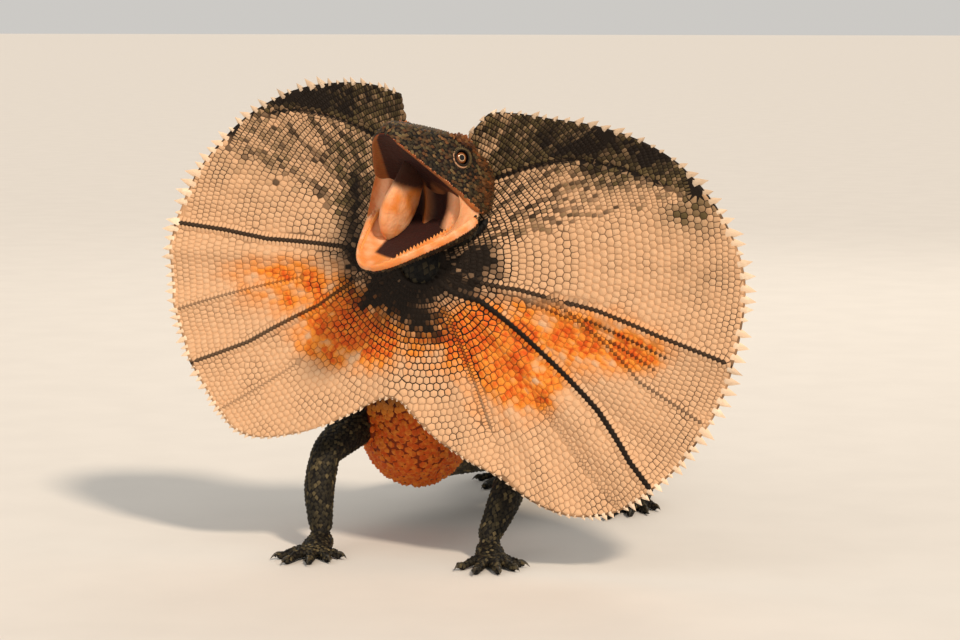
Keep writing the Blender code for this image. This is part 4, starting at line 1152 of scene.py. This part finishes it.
def materials():
    """All materials, made once."""
    if "frill_scales" in bpy.data.materials:
        return bpy.data.materials
    c = bpy.context.scene.lizard_colours
    # Frill: thin keratin scales, dry and matt, on a membrane that shows dark between them
    marked_skin("frill_scales", c.cream, c.cream_deep, c.orange, c.red_orange, c.olive,
                c.net, True, 0.65)
    marked_skin("frill_membrane", c.cream_deep, c.cream_deep, c.orange, c.red_orange,
                c.olive, c.net, False, 0.65)
    marked_skin("edge_horn", c.spine, c.cream, c.orange, c.red_orange, c.olive, c.net,
                True, 0.5)
    # Body: keeled keratin scales with a low sheen over dark skin
    marked_skin("body_scales", c.body, c.limb, c.orange, c.red_orange, c.body_pale,
                c.black, True, 0.55)
    marked_skin("skin_between_scales", c.net, c.net, c.red_orange, c.red_orange, c.net,
                c.black, False, 0.6)
    marked_skin("head_scales", c.head, c.limb, c.rust, c.orange, c.head_pale, c.black,
                True, 0.5)
    marked_skin("lid_skin", c.head, c.body, c.rust, c.rust, c.flesh_pale, c.black, False)
    wet_flesh("mouth_flesh", c.flesh_pale, c.flesh, c.flesh_deep)
    wet_flesh("tongue_flesh", c.flesh_pale, c.flesh, c.flesh_deep, 0.45)
    claw_horn("claw_horn", c.black, c.body_pale)
    tooth_enamel("tooth_enamel", c.tooth, c.flesh)
    eye_surface("eye_surface", c)
    return bpy.data.materials


BODY_NODES = ("neck", "chest", "torso", "tail_1", "tail_2", "tail_3", "tail_4", "tail_5",
              *(f"{part}_{side}" for side in ("left", "right")
                for part in ("upper_arm", "forearm", "hand", "thigh", "shin", "foot")))
HEAD_NODES = ("head", "lower_jaw")
FRILL_NODES = ("frill_upper_left", "frill_lower_left", "frill_lower_right",
               "frill_upper_right")


class LIZARD_OT_body(bpy.types.Operator):
    """Skin of neck, trunk, legs, feet and tail"""

    bl_idname = "lizard.body"
    bl_label = "Body skin"

    def execute(self, context):
        mesh = voxel_skin(BODY_NODES, context.scene.lizard_sizes.body_voxel, 5, BODY_SWELL,
                          (throat_flesh(),))
        rest = mesh_places(mesh)
        rest[:, 2] = np.maximum(rest[:, 2], SKIN_LOWEST)
        mesh.vertices.foreach_set("co", rest.astype(np.float32).ravel())
        mesh.update()
        places = to_lizard(rest)
        set_attribute(mesh, "marks", "FLOAT_COLOR", body_marks(places, along_body(places)))
        new_piece("body_skin", mesh, [materials()["skin_between_scales"]],
                  BODY_NODES)
        return {"FINISHED"}


class LIZARD_OT_head(bpy.types.Operator):
    """Skin of the head and the lower jaw, wet inside the mouth"""

    bl_idname = "lizard.head"
    bl_label = "Head skin"

    def execute(self, context):
        mesh = voxel_skin(HEAD_NODES, context.scene.lizard_sizes.head_voxel, 3, HEAD_SWELL)
        places, normals = to_lizard(mesh_places(mesh)), mesh_normals(mesh)
        wet = in_mouth(places, normals)
        marks = head_marks(places)
        upper, lower = in_head(places, UPPER_TILT), in_head(places, LOWER_TILT)
        roof = upper[:, 2] > -1.5
        marks[wet] = np.where(roof[:, None], palate_marks(upper), jaw_marks(lower))[wet]
        set_attribute(mesh, "marks", "FLOAT_COLOR", marks)
        kit = materials()
        piece = new_piece("head_skin", mesh, [kit["skin_between_scales"], kit["mouth_flesh"]],
                          HEAD_NODES)
        starts = read_rows(mesh.polygons, "loop_start", 1, np.int32)[:, 0]
        wet_faces = wet[mesh_corners(mesh)[starts]].astype(np.int32)
        piece.data.polygons.foreach_set("material_index", wet_faces)
        return {"FINISHED"}


def sphere_grid(rings, segments, reach):
    """Directions on a sphere round +Z from the pole to an angle, and their faces."""
    theta = np.linspace(0, reach, rings)
    phi = np.linspace(0, 2 * np.pi, segments, endpoint=False)
    places = [(0, 0, 1)]
    for t in theta[1:]:
        places += [(math.sin(t) * math.cos(p), math.sin(t) * math.sin(p), math.cos(t))
                   for p in phi]
    faces = [(0, 1 + k, 1 + (k + 1) % segments) for k in range(segments)]
    for r in range(rings - 2):
        base = 1 + r * segments
        for k in range(segments):
            n = (k + 1) % segments
            faces.append((base + k, base + segments + k, base + segments + n, base + n))
    last = 1 + (rings - 2) * segments
    faces.append([last + k for k in range(segments)][::-1])
    return np.array(places, float), faces


class LIZARD_OT_eyes(bpy.types.Operator):
    """Both eyes with a bulging cornea"""

    bl_idname = "lizard.eyes"
    bl_label = "Eyes"

    def execute(self, context):
        turn = head_matrix(UPPER_TILT)
        for name, side in (("left", 1), ("right", -1)):
            around, faces = sphere_grid(34, 40, math.radians(168))
            angle = np.arccos(np.clip(around[:, 2], -1, 1))
            bulge = 1 + 0.07 * np.exp(-(angle / 0.55) ** 4)
            at, gaze = eye_place(side)
            look = gaze.to_track_quat("Z", "Y").to_matrix().to_4x4()
            local = apply_matrix(look, around * bulge[:, None] * EYE_RADIUS) + np.array(at)
            mesh = new_mesh(f"eyeball_{name}", to_row(apply_matrix(turn, local)), faces)
            set_attribute(mesh, "gaze", "FLOAT", angle / (math.pi / 2))
            new_piece(f"eyeball_{name}", mesh, [materials()["eye_surface"]],
                      (f"eye_{name}",))
        return {"FINISHED"}


def grid_faces(rows, columns, start=0, flip=False):
    faces = []
    for r in range(rows - 1):
        for k in range(columns - 1):
            a = start + r * columns + k
            quad = (a, a + 1, a + columns + 1, a + columns)
            faces.append(quad[::-1] if flip else quad)
    return faces


class LIZARD_OT_mouth(bpy.types.Operator):
    """Lining of the mouth with its folds, the tongue and the teeth of the lower jaw"""

    bl_idname = "lizard.mouth"
    bl_label = "Mouth"

    def execute(self, context):
        self.lining()
        self.tongue()
        self.teeth()
        return {"FINISHED"}

    def lining(self):
        """Cheeks, folds and throat between the jaws, closed by a flatter back."""
        gape = math.radians(UPPER_TILT - LOWER_TILT) / 2
        rows, columns = 91, 61
        across = np.linspace(-1, 1, rows)[:, None] * np.ones(columns)
        v = np.linspace(-1, 1, columns)[None, :] * np.ones((rows, 1))
        share = np.abs(across) ** 3
        reach = 6.0 + 11.5 * share
        deep = 2.0 + 9.5 * share
        ahead = deep + (reach * math.cos(gape) - deep) * v * v
        high = v * (reach * math.sin(gape) + 6.5 - 5.5 * share)
        muscle = sum(tall * bell((across - at) / half) for at, half, tall in CHEEK_MUSCLES)
        ridge = bell((across - 0.04 + 0.10 * v) / 0.085)
        ahead = ahead + 3.2 * muscle * (1 - v ** 4) + 2.6 * ridge * (1 - v ** 8)
        wide = table_value(JAW_WIDTHS, np.hypot(ahead, high) + 1.0) * 0.97
        front = np.stack((across * wide, -ahead, high), -1)
        back = np.stack((across * 22.5, np.full_like(across, 2.5), high * 0.35), -1)
        places = np.concatenate((front.reshape(-1, 3), back.reshape(-1, 3)))
        faces = grid_faces(rows, columns, 0, True) + grid_faces(rows, columns, rows * columns)
        size = rows * columns
        for r in range(rows - 1):
            a, b = r * columns, (r + 1) * columns
            faces.append((a, b, b + size, a + size))
            a, b = a + columns - 1, b + columns - 1
            faces.append((b, a, a + size, b + size))
        for k in range(columns - 1):
            faces.append((k + 1, k, k + size, k + 1 + size))
            a = (rows - 1) * columns + k
            faces.append((a, a + 1, a + 1 + size, a + size))
        mesh = new_mesh("mouth_folds", to_row(apply_matrix(head_matrix(), places)), faces)
        # Painted shade deep between the jaws, lighter towards the cheeks and on the ridge
        bright = np.clip((np.abs(across) - 0.48) / 0.22, 0, 1)
        dark = np.clip(1.0 - bright - 0.4 * ridge, 0, 1) * np.clip(1.25 - 0.5 * v * v, 0, 1)
        warm = np.clip(0.1 + 0.45 * np.clip((-across - 0.85) / 0.12, 0, 1) + ridge, 0, 1)
        marks = np.zeros((size * 2, 4))
        marks[:size, 0], marks[:size, 1] = warm.ravel(), dark.ravel()
        set_attribute(mesh, "marks", "FLOAT_COLOR", marks)
        new_piece("mouth_folds", mesh, [materials()["mouth_flesh"]], ("mouth_lining",))

    def tongue(self):
        mesh = voxel_skin(("tongue",), TONGUE_VOXEL, 4, HEAD_SWELL)
        turn = head_matrix()
        local = apply_matrix(turn.inverted(), to_lizard(mesh_places(mesh)))
        local[:, 0] = -8.4 + (local[:, 0] + 10.6) * 0.52
        local[:, 0] = -3.0 + (local[:, 0] + 3.0) * (1 - 0.045 * np.clip(local[:, 2] - 2, 0, 11))
        local[:, 2] += 0.9 * np.maximum(local[:, 2] - 2.0, 0)
        local[:, 0] += 1.4 * np.sin(local[:, 2] / 7.0)
        places = apply_matrix(turn, local)
        mesh.vertices.foreach_set("co", to_row(places).astype(np.float32).ravel())
        mesh.update()
        warm = np.clip(0.2 + 0.7 * np.abs((local[:, 0] + 4.5) / 5.5) ** 2
                       + 0.8 * blotches(local, 4.5, 14)
                       + 0.4 * np.clip((-12 - local[:, 2]) / 5, 0, 1), 0, 1)
        # Painted shadow of the upper jaw across the tongue's top
        dark = 0.97 * np.clip((local[:, 2] + 0.25 * local[:, 0] - 3.8) / 2.8, 0, 1)
        marks = np.zeros((len(places), 4))
        marks[:, 0], marks[:, 1] = warm, dark
        set_attribute(mesh, "marks", "FLOAT_COLOR", marks)
        new_piece("tongue_skin", mesh, [materials()["tongue_flesh"]], ("tongue",))

    def teeth(self):
        """A close row of small pointed teeth along each side of the lower jaw."""
        ahead = np.arange(7.0, 38.0, 1.6)
        wide = table_value(JAW_WIDTHS, ahead) * 0.78
        rng = np.random.default_rng(3)
        places, lie, sizes = [], [], []
        for side in (1, -1):
            for y, x in zip(ahead, wide):
                places.append((side * x, -y, -0.5))
                lie.append((0.0, 0.0, 1.0))
                high = 1.35 * rng.uniform(0.85, 1.15)
                sizes.append((high * 1.1, 1.9, 2.2))
        turn = head_matrix(LOWER_TILT)
        straight = turn.to_3x3().to_4x4()
        outwards = [(math.copysign(1.0, p[0]), -0.45, 0.0) for p in places]
        count = len(places)
        seeds = {"places": to_row(apply_matrix(turn, places)),
                 "up": apply_matrix(straight, unit(outwards)),
                 "lie": apply_matrix(straight, lie), "size": np.array(sizes) * MM,
                 "marks": np.zeros((count, 4)), "root": np.array(places) * MM}
        coat("jaw_teeth", seeds, plate_mesh("tooth", SPINE_LEAF, 0.35, 0.0),
             materials()["tooth_enamel"], 0.05)


class LIZARD_OT_frill(bpy.types.Operator):
    """The frill's membrane, its scales on both faces and the spines on its edge"""

    bl_idname = "lizard.frill"
    bl_label = "Frill"

    def execute(self, context):
        self.membrane()
        self.scales(True)
        self.scales(False)
        self.edge()
        return {"FINISHED"}

    def membrane(self):
        columns, rows = 441, 60
        angle = np.linspace(FRILL_START, FRILL_END, columns)[:, None] * np.ones(rows)
        root = FRILL_ROOT / edge_radius(angle[:, :1])
        share = root + (1 - root) * np.linspace(0, 1, rows)[None, :]
        half = frill_thickness(share) / 2
        front = frill_places(angle, share, half)
        back = frill_places(angle, share, -half)
        size = columns * rows
        places = np.concatenate((front.reshape(-1, 3), back.reshape(-1, 3)))
        faces = grid_faces(columns, rows) + grid_faces(columns, rows, size, True)
        for c in range(columns - 1):
            for r, flip in ((rows - 1, False), (0, True)):
                quad = (c * rows + r, c * rows + r + size, (c + 1) * rows + r + size,
                        (c + 1) * rows + r)
                faces.append(quad[::-1] if flip else quad)
        for r in range(rows - 1):
            for c, flip in ((0, False), (columns - 1, True)):
                quad = (c * rows + r, c * rows + r + size, c * rows + r + 1 + size,
                        c * rows + r + 1)
                faces.append(quad[::-1] if flip else quad)
        mesh = new_mesh("frill_skin", to_row(places), faces)
        flat_angle, flat_share = angle.ravel(), share.ravel()
        marks = np.concatenate([frill_marks(flat_angle, flat_share, side.reshape(-1, 3), f)
                                for side, f in ((front, True), (back, False))])
        # Painted shade along each crease on the front, darkest in the fold
        for crease in CREASES:
            near = crease[2] * crease_near(flat_angle, flat_share, crease)
            marks[:size, 1] = np.maximum(marks[:size, 1], np.clip(1.4 * near, 0, 1))
        set_attribute(mesh, "marks", "FLOAT_COLOR", marks)
        new_piece("frill_skin", mesh, [materials()["frill_membrane"]],
                  FRILL_NODES)

    def scales(self, front):
        """Cells round staggered rows of seeds, smaller towards the edge."""
        rng = np.random.default_rng(5 if front else 6)
        at = frill_seeds(front, rng)
        names = ("left", "right") if front else ("back",)
        cells = voronoi_cells(at, frill_guards())
        for n, name in enumerate(names):
            side = np.ones(len(at), bool) if not front else (at[:, 0] > 4) == (n == 0)
            mesh = frill_cells(f"frill_scales_{name}", at, cells, side, front, rng)
            new_piece(mesh.name, mesh, [materials()["frill_scales"]])

    def edge(self):
        """Pointed scales along the edge, with small ones between them."""
        table = np.array(EDGE_SPINES, float)
        rng = np.random.default_rng(9)
        angle, angles, heights = FRILL_START - 0.4, [], []
        while angle > FRILL_END + 0.4:
            high, pitch = (np.interp(-angle, -table[:, 0], table[:, k]) for k in (1, 2))
            angles.append(angle)
            heights.append(high * rng.choice((0.55, 0.9, 1.1, 1.35), p=(0.2, 0.3, 0.3, 0.2)))
            angle -= math.degrees(pitch * rng.uniform(0.8, 1.15) / edge_radius(angle))
        angle, height = np.array(angles), np.array(heights)
        share = np.ones(len(angle))
        outwards, normal = frill_frames(angle, share)
        places = frill_places(angle, share) - outwards * 0.3
        marks = frill_marks(angle, share, places) * (0.2, 0.15, 1.0, 0.2)
        scale = np.stack((height, 1.6 + height * 0.6, 0.8 + height * 0.15), -1) * MM
        turn = np.radians(angle)
        root = np.stack((0.5 + np.cos(turn) * 0.45, 0.5 + np.sin(turn) * 0.45,
                         np.zeros(len(turn))), -1)
        seeds = {"places": to_row(places), "up": normal, "lie": outwards, "size": scale,
                 "marks": marks, "root": root}
        coat("frill_edge_spines", seeds, plate_mesh("edge_spine", SPINE_LEAF, 0.8, -0.1),
             materials()["edge_horn"], 0.18)


class LIZARD_OT_scales(bpy.types.Operator):
    """Scales on body, legs, tail and head, and the granules of the lids"""

    bl_idname = "lizard.scales"
    bl_label = "Scales"

    def execute(self, context):
        sizes = context.scene.lizard_sizes
        rng = np.random.default_rng(sizes.seed)
        skin = bpy.data.objects["body_skin"].data
        parts = (("trunk", sizes.trunk_scale, "body_skin", RHOMB),
                 ("limb", sizes.limb_scale, "leg_skin", RHOMB),
                 ("chest", sizes.trunk_scale * CHEST_SPACING, "chest_skin", HEXAGON))
        for part, spacing, slot, outline in parts:
            def keep(places, normals, part=part):
                own = to_lizard(places)
                lengths = along_body(own)
                limb = (lengths[:, 3] > 0.5) | (lengths[:, 4] > 0.5)
                breast = (body_marks(own, lengths)[:, 0] > 0.45) & ~limb
                chosen = {"trunk": ~limb & ~breast, "limb": limb, "chest": breast}[part]
                return chosen & ((places[:, 2] > SCALE_CLEAR) | (normals[:, 2] > 0.7))
            self.body(f"{part}_scales", skin, spacing, keep, rng, slot, outline)
        self.head(bpy.data.objects["head_skin"].data, sizes.head_scale, rng)
        self.lids()
        self.folds()
        return {"FINISHED"}

    def body(self, name, skin, spacing, keep, rng, slot, outline):
        places, up = scatter(skin, spacing, keep, rng)
        own = to_lizard(places)
        lengths = along_body(own)
        lie = lengths[:, :3]
        chest = outline is HEXAGON
        scale = np.full((len(own), 3), spacing) * (CHEST_PLATE if chest else BODY_PLATE)
        root = np.stack((lengths[:, 4] * 0.9 + lengths[:, 3] * 0.03, own[:, 2] / 200,
                         np.zeros(len(own))), -1)
        tilt = 0.0 if chest else 0.10
        marks = flecked(body_marks(own, lengths), rng, 0.8)
        if chest:
            marks[:, 1] *= 0.4
        seeds = {"places": places, "up": unit(unit(up) - tilt * lie), "lie": lie, "size": scale,
                 "marks": marks, "root": root}
        coat(name, seeds, plate_mesh(name + "_plate", outline, 1.0, 0.0 if chest else 0.22),
             materials()["body_scales"], 0.14)

    def head(self, skin, spacing, rng):
        def keep(places, normals):
            own = to_lizard(places)
            local = in_head(own, UPPER_TILT)
            clear = np.ones(len(own), bool)
            for side in (1, -1):
                eye = np.array((side * EYE_AT[0], *EYE_AT[1:]))
                clear &= np.linalg.norm(local - eye, axis=1) > LID_RADIUS + 0.35
            return ~in_mouth(own, normals) & clear
        places, up = scatter(skin, spacing, keep, rng)
        own = to_lizard(places)
        turn = head_matrix(UPPER_TILT)
        local = apply_matrix(turn.inverted(), own)
        lie = np.tile(np.array(turn.to_3x3() @ Vector((0, 1, 0))), (len(own), 1))
        x, y, z = np.abs(local[:, 0]), local[:, 1], local[:, 2]
        brow = bell((x - BROW_AT[0]) / 5, (y - BROW_AT[1]) / 11, (z - BROW_AT[2]) / 3.5)
        temple = bell((y - 2) / 8, (z - 13) / 10) * (x > 12)
        size = spacing * (1 + 0.5 * brow + 0.5 * temple)
        tall = 0.5 + 0.45 * temple + 0.3 * brow
        scale = np.stack((size * 1.75, size * 1.3, size * tall), -1)
        root = np.stack((0.5 + local[:, 0] / 140, 0.5 + local[:, 1] / 140,
                         np.zeros(len(own))), -1)
        seeds = {"places": places, "up": unit(up - (0.1 + 0.3 * temple)[:, None] * lie),
                 "lie": lie, "size": scale, "marks": flecked(head_marks(own), rng, 0.6),
                 "root": root}
        coat("head_scales", seeds, plate_mesh("head_plate", RHOMB, 1.0, 0.2),
             materials()["head_scales"], 0.25)

    def folds(self):
        """A dark rim round each eye's opening and pale folds below and above it."""
        turn = head_matrix(UPPER_TILT)
        places, faces, shades = [], [], []
        steps, around = 40, 6
        for side in (1, -1):
            eye, gaze = eye_place(side)
            up = (Vector((0, 0.25, 1)) - gaze * gaze.z).normalized()
            across = gaze.cross(up)
            for theta, first, last, thick, pale in FOLDS_OF_LID:
                faces += tube_faces(len(places), steps, around)
                for s in range(steps):
                    t = s / (steps - 1)
                    phi = math.radians(first + (last - first) * t)
                    away = math.radians(theta)
                    out = up * math.cos(phi) + across * math.sin(phi)
                    way = gaze * math.cos(away) + out * math.sin(away)
                    beside = out * math.cos(away) - gaze * math.sin(away)
                    size = thick * (0.25 + 0.75 * math.sin(math.pi * t) ** 0.5)
                    for k in range(around):
                        a = 2 * math.pi * k / around
                        places.append(eye + way * (LID_RADIUS + size * math.cos(a))
                                      + beside * size * math.sin(a))
                        shades.append((0, 1 - pale, 1 - pale, pale))
        mesh = new_mesh("lid_folds", to_row(apply_matrix(turn, places)), faces)
        outward(mesh)
        set_attribute(mesh, "marks", "FLOAT_COLOR", shades)
        new_piece("lid_folds", mesh, [materials()["lid_skin"]])

    def lids(self):
        """Rings of granules round each eye's opening."""
        turn = head_matrix(UPPER_TILT)
        straight = turn.to_3x3().to_4x4()
        places, up, lie, sizes = [], [], [], []
        for side in (1, -1):
            eye, gaze = eye_place(side)
            look = gaze.to_track_quat("Z", "Y").to_matrix()
            for ring, (theta, size) in enumerate(RINGS_OF_LID):
                t = math.radians(theta)
                count = int(2 * math.pi * LID_RADIUS * math.sin(t) / size)
                for k in range(count):
                    p = 2 * math.pi * (k + 0.5 * (ring % 2)) / count
                    way = look @ Vector((math.sin(t) * math.cos(p), math.sin(t) * math.sin(p),
                                         math.cos(t)))
                    around = look @ Vector((-math.sin(p), math.cos(p), 0))
                    places.append(eye + way * (LID_RADIUS - 0.05))
                    up.append(way)
                    lie.append(around)
                    sizes.append((size * 1.05, size * 0.95, size * 0.36))
        count = len(places)
        own = apply_matrix(turn, places)
        marks = head_marks(own) * (0.3, 0.25, 1, 1) + (0, 0, 0, 0.3)
        root = np.array(places) / 140 + 0.5
        seeds = {"places": to_row(own), "up": apply_matrix(straight, up),
                 "lie": apply_matrix(straight, lie), "size": np.array(sizes) * MM,
                 "marks": np.clip(marks, 0, 1), "root": root * (1, 1, 0)}
        coat("lid_granules", seeds, plate_mesh("granule", HEXAGON, 1.0, 0.0),
             materials()["head_scales"], 0.1)


class LIZARD_OT_claws(bpy.types.Operator):
    """Curved claws on every toe"""

    bl_idname = "lizard.claws"
    bl_label = "Claws"

    def execute(self, context):
        places, faces = [], []
        sides, steps = 8, 6
        for ankle, heading, palm, radius, toes in FEET:
            ahead = self.heading(heading)
            knuckles = np.array((*ankle, 0.0)) + ahead * (1.5 + palm)
            spread = np.cross(ahead, (0, 0, 1))
            for n, (turn, long) in enumerate(toes):
                way = self.heading(heading - turn)
                place = (n - (len(toes) - 1) / 2) / len(toes)
                start = knuckles - spread * place * radius * -2.0 - way * 3.0
                root = start + way * (long - 1.8) + np.array((0, 0, 2.0))
                side = np.cross(way, (0, 0, 1))
                faces += tube_faces(len(places), steps, sides)
                for s in range(steps):
                    t = s / (steps - 1)
                    middle = root + way * CLAW_LENGTH * t
                    middle[2] += 1.5 * math.sin(math.pi * t * 0.9) - 1.5 * t
                    thick = CLAW_RADIUS * (1 - t) ** 0.8 + 0.08
                    for k in range(sides):
                        a = 2 * math.pi * k / sides
                        places.append(middle + side * thick * 0.8 * math.cos(a)
                                      + np.array((0, 0, thick * math.sin(a))))
        mesh = new_mesh("claws", to_row(places), faces)
        outward(mesh)
        new_piece("claws", mesh, [materials()["claw_horn"]])
        return {"FINISHED"}

    def heading(self, degrees):
        turn = math.radians(degrees)
        return np.array((math.sin(turn), -math.cos(turn), 0.0))


class LIZARD_OT_stage(bpy.types.Operator):
    """Pale floor, soft studio light and the camera"""

    bl_idname = "lizard.stage"
    bl_label = "Stage"

    def execute(self, context):
        scene = context.scene
        self.floor()
        self.world(scene)
        right, up, back = self.axes()
        centre = Vector(to_row(FRILL_CENTRE))
        self.sun(right * 0.42 + up * 0.72 + back * 1.0, *KEY_LIGHT)
        self.light("fill", centre - right * 1.2 + up * 0.6 + back * 1.2, centre, *FILL_LIGHT)
        self.light("rim", centre + right * 0.4 + up * 1.0 - back * 1.2, centre, *RIM_LIGHT)
        camera = add_object("camera", bpy.data.cameras.new("camera"))
        place = centre + (right * CAMERA_RIGHT - up * CAMERA_DOWN + back * CAMERA_DISTANCE) * MM
        turned = Matrix((right, up, back)).transposed().to_4x4()
        camera.matrix_world = Matrix.Translation(place) @ turned
        camera.data.sensor_width = 36.0
        camera.data.lens = 36.0 * CAMERA_DISTANCE / (PICTURE_WIDTH * MM_PER_PIXEL)
        camera.data.clip_start, camera.data.clip_end = 0.05, 50.0
        scene.camera = camera
        return {"FINISHED"}

    def axes(self):
        """The camera's right, up and backward directions."""
        turn, tilt = math.radians(CAMERA_TURN), math.radians(CAMERA_HEIGHT)
        back = Vector((math.sin(turn) * math.cos(tilt), -math.cos(turn) * math.cos(tilt),
                       math.sin(tilt)))
        right = Vector((math.cos(turn), math.sin(turn), 0.0))
        return right, back.cross(right), back

    def floor(self):
        corners = [(x * FLOOR_HALF, y * FLOOR_HALF, 0.0)
                   for x, y in ((-1, -1), (1, -1), (1, 1), (-1, 1))]
        mesh = new_mesh("floor", corners, [(0, 1, 2, 3)], False)
        mesh.materials.append(studio_paint("studio_paper", PAPER_COLOUR))
        floor = add_object("floor", mesh)

    def world(self, scene):
        world = bpy.data.worlds.new("studio")
        scene.world = world
        world.use_nodes = True
        background = world.node_tree.nodes["Background"]
        background.inputs["Color"].default_value = rgba(linear(SKY_COLOUR))
        background.inputs["Strength"].default_value = SKY_STRENGTH
        scene.view_settings.view_transform = "Standard"

    def sun(self, towards, strength, wide, code):
        """Warm key light from the upper right, a little soft."""
        data = bpy.data.lights.new("key", "SUN")
        data.energy, data.angle, data.color = strength, math.radians(wide), linear(code)
        self.lamp(data, towards.to_track_quat("Z", "Y"))

    def light(self, name, place, target, size, power, code):
        """Round soft light at a place."""
        data = bpy.data.lights.new(name, "AREA")
        data.shape, data.size, data.energy, data.color = "DISK", size, power, linear(code)
        self.lamp(data, (target - place).to_track_quat("-Z", "Y")).location = place

    def lamp(self, data, turn):
        lamp = add_object(data.name, data)
        lamp.rotation_mode = "QUATERNION"
        lamp.rotation_quaternion = turn
        return lamp


class LIZARD_PT_panel(bpy.types.Panel):
    """Sizes, colours and steps of the lizard"""

    bl_idname = "LIZARD_PT_panel"
    bl_label = "Frilled lizard"
    bl_space_type = "VIEW_3D"
    bl_region_type = "UI"
    bl_category = "Lizard"

    def draw(self, context):
        for group in (context.scene.lizard_sizes, context.scene.lizard_colours):
            box = self.layout.box()
            for key in group.__annotations__:
                box.prop(group, key)
        for operator in STEPS:
            self.layout.operator(operator.bl_idname)


STEPS = (LIZARD_OT_body, LIZARD_OT_head, LIZARD_OT_eyes, LIZARD_OT_mouth, LIZARD_OT_frill,
         LIZARD_OT_scales, LIZARD_OT_claws, LIZARD_OT_stage)
CLASSES = (LizardSizes, LizardColours, *STEPS, LIZARD_PT_panel)


def register():
    for cls in CLASSES:
        bpy.utils.register_class(cls)
    bpy.types.Scene.lizard_sizes = PointerProperty(type=LizardSizes)
    bpy.types.Scene.lizard_colours = PointerProperty(type=LizardColours)


def unregister():
    del bpy.types.Scene.lizard_colours
    del bpy.types.Scene.lizard_sizes
    for cls in reversed(CLASSES):
        bpy.utils.unregister_class(cls)


def main():
    register()
    bpy.ops.lizard.body()
    bpy.ops.lizard.head()
    bpy.ops.lizard.eyes()
    bpy.ops.lizard.mouth()
    bpy.ops.lizard.frill()
    bpy.ops.lizard.scales()
    bpy.ops.lizard.claws()
    bpy.ops.lizard.stage()


if __name__ == "__main__":
    main()
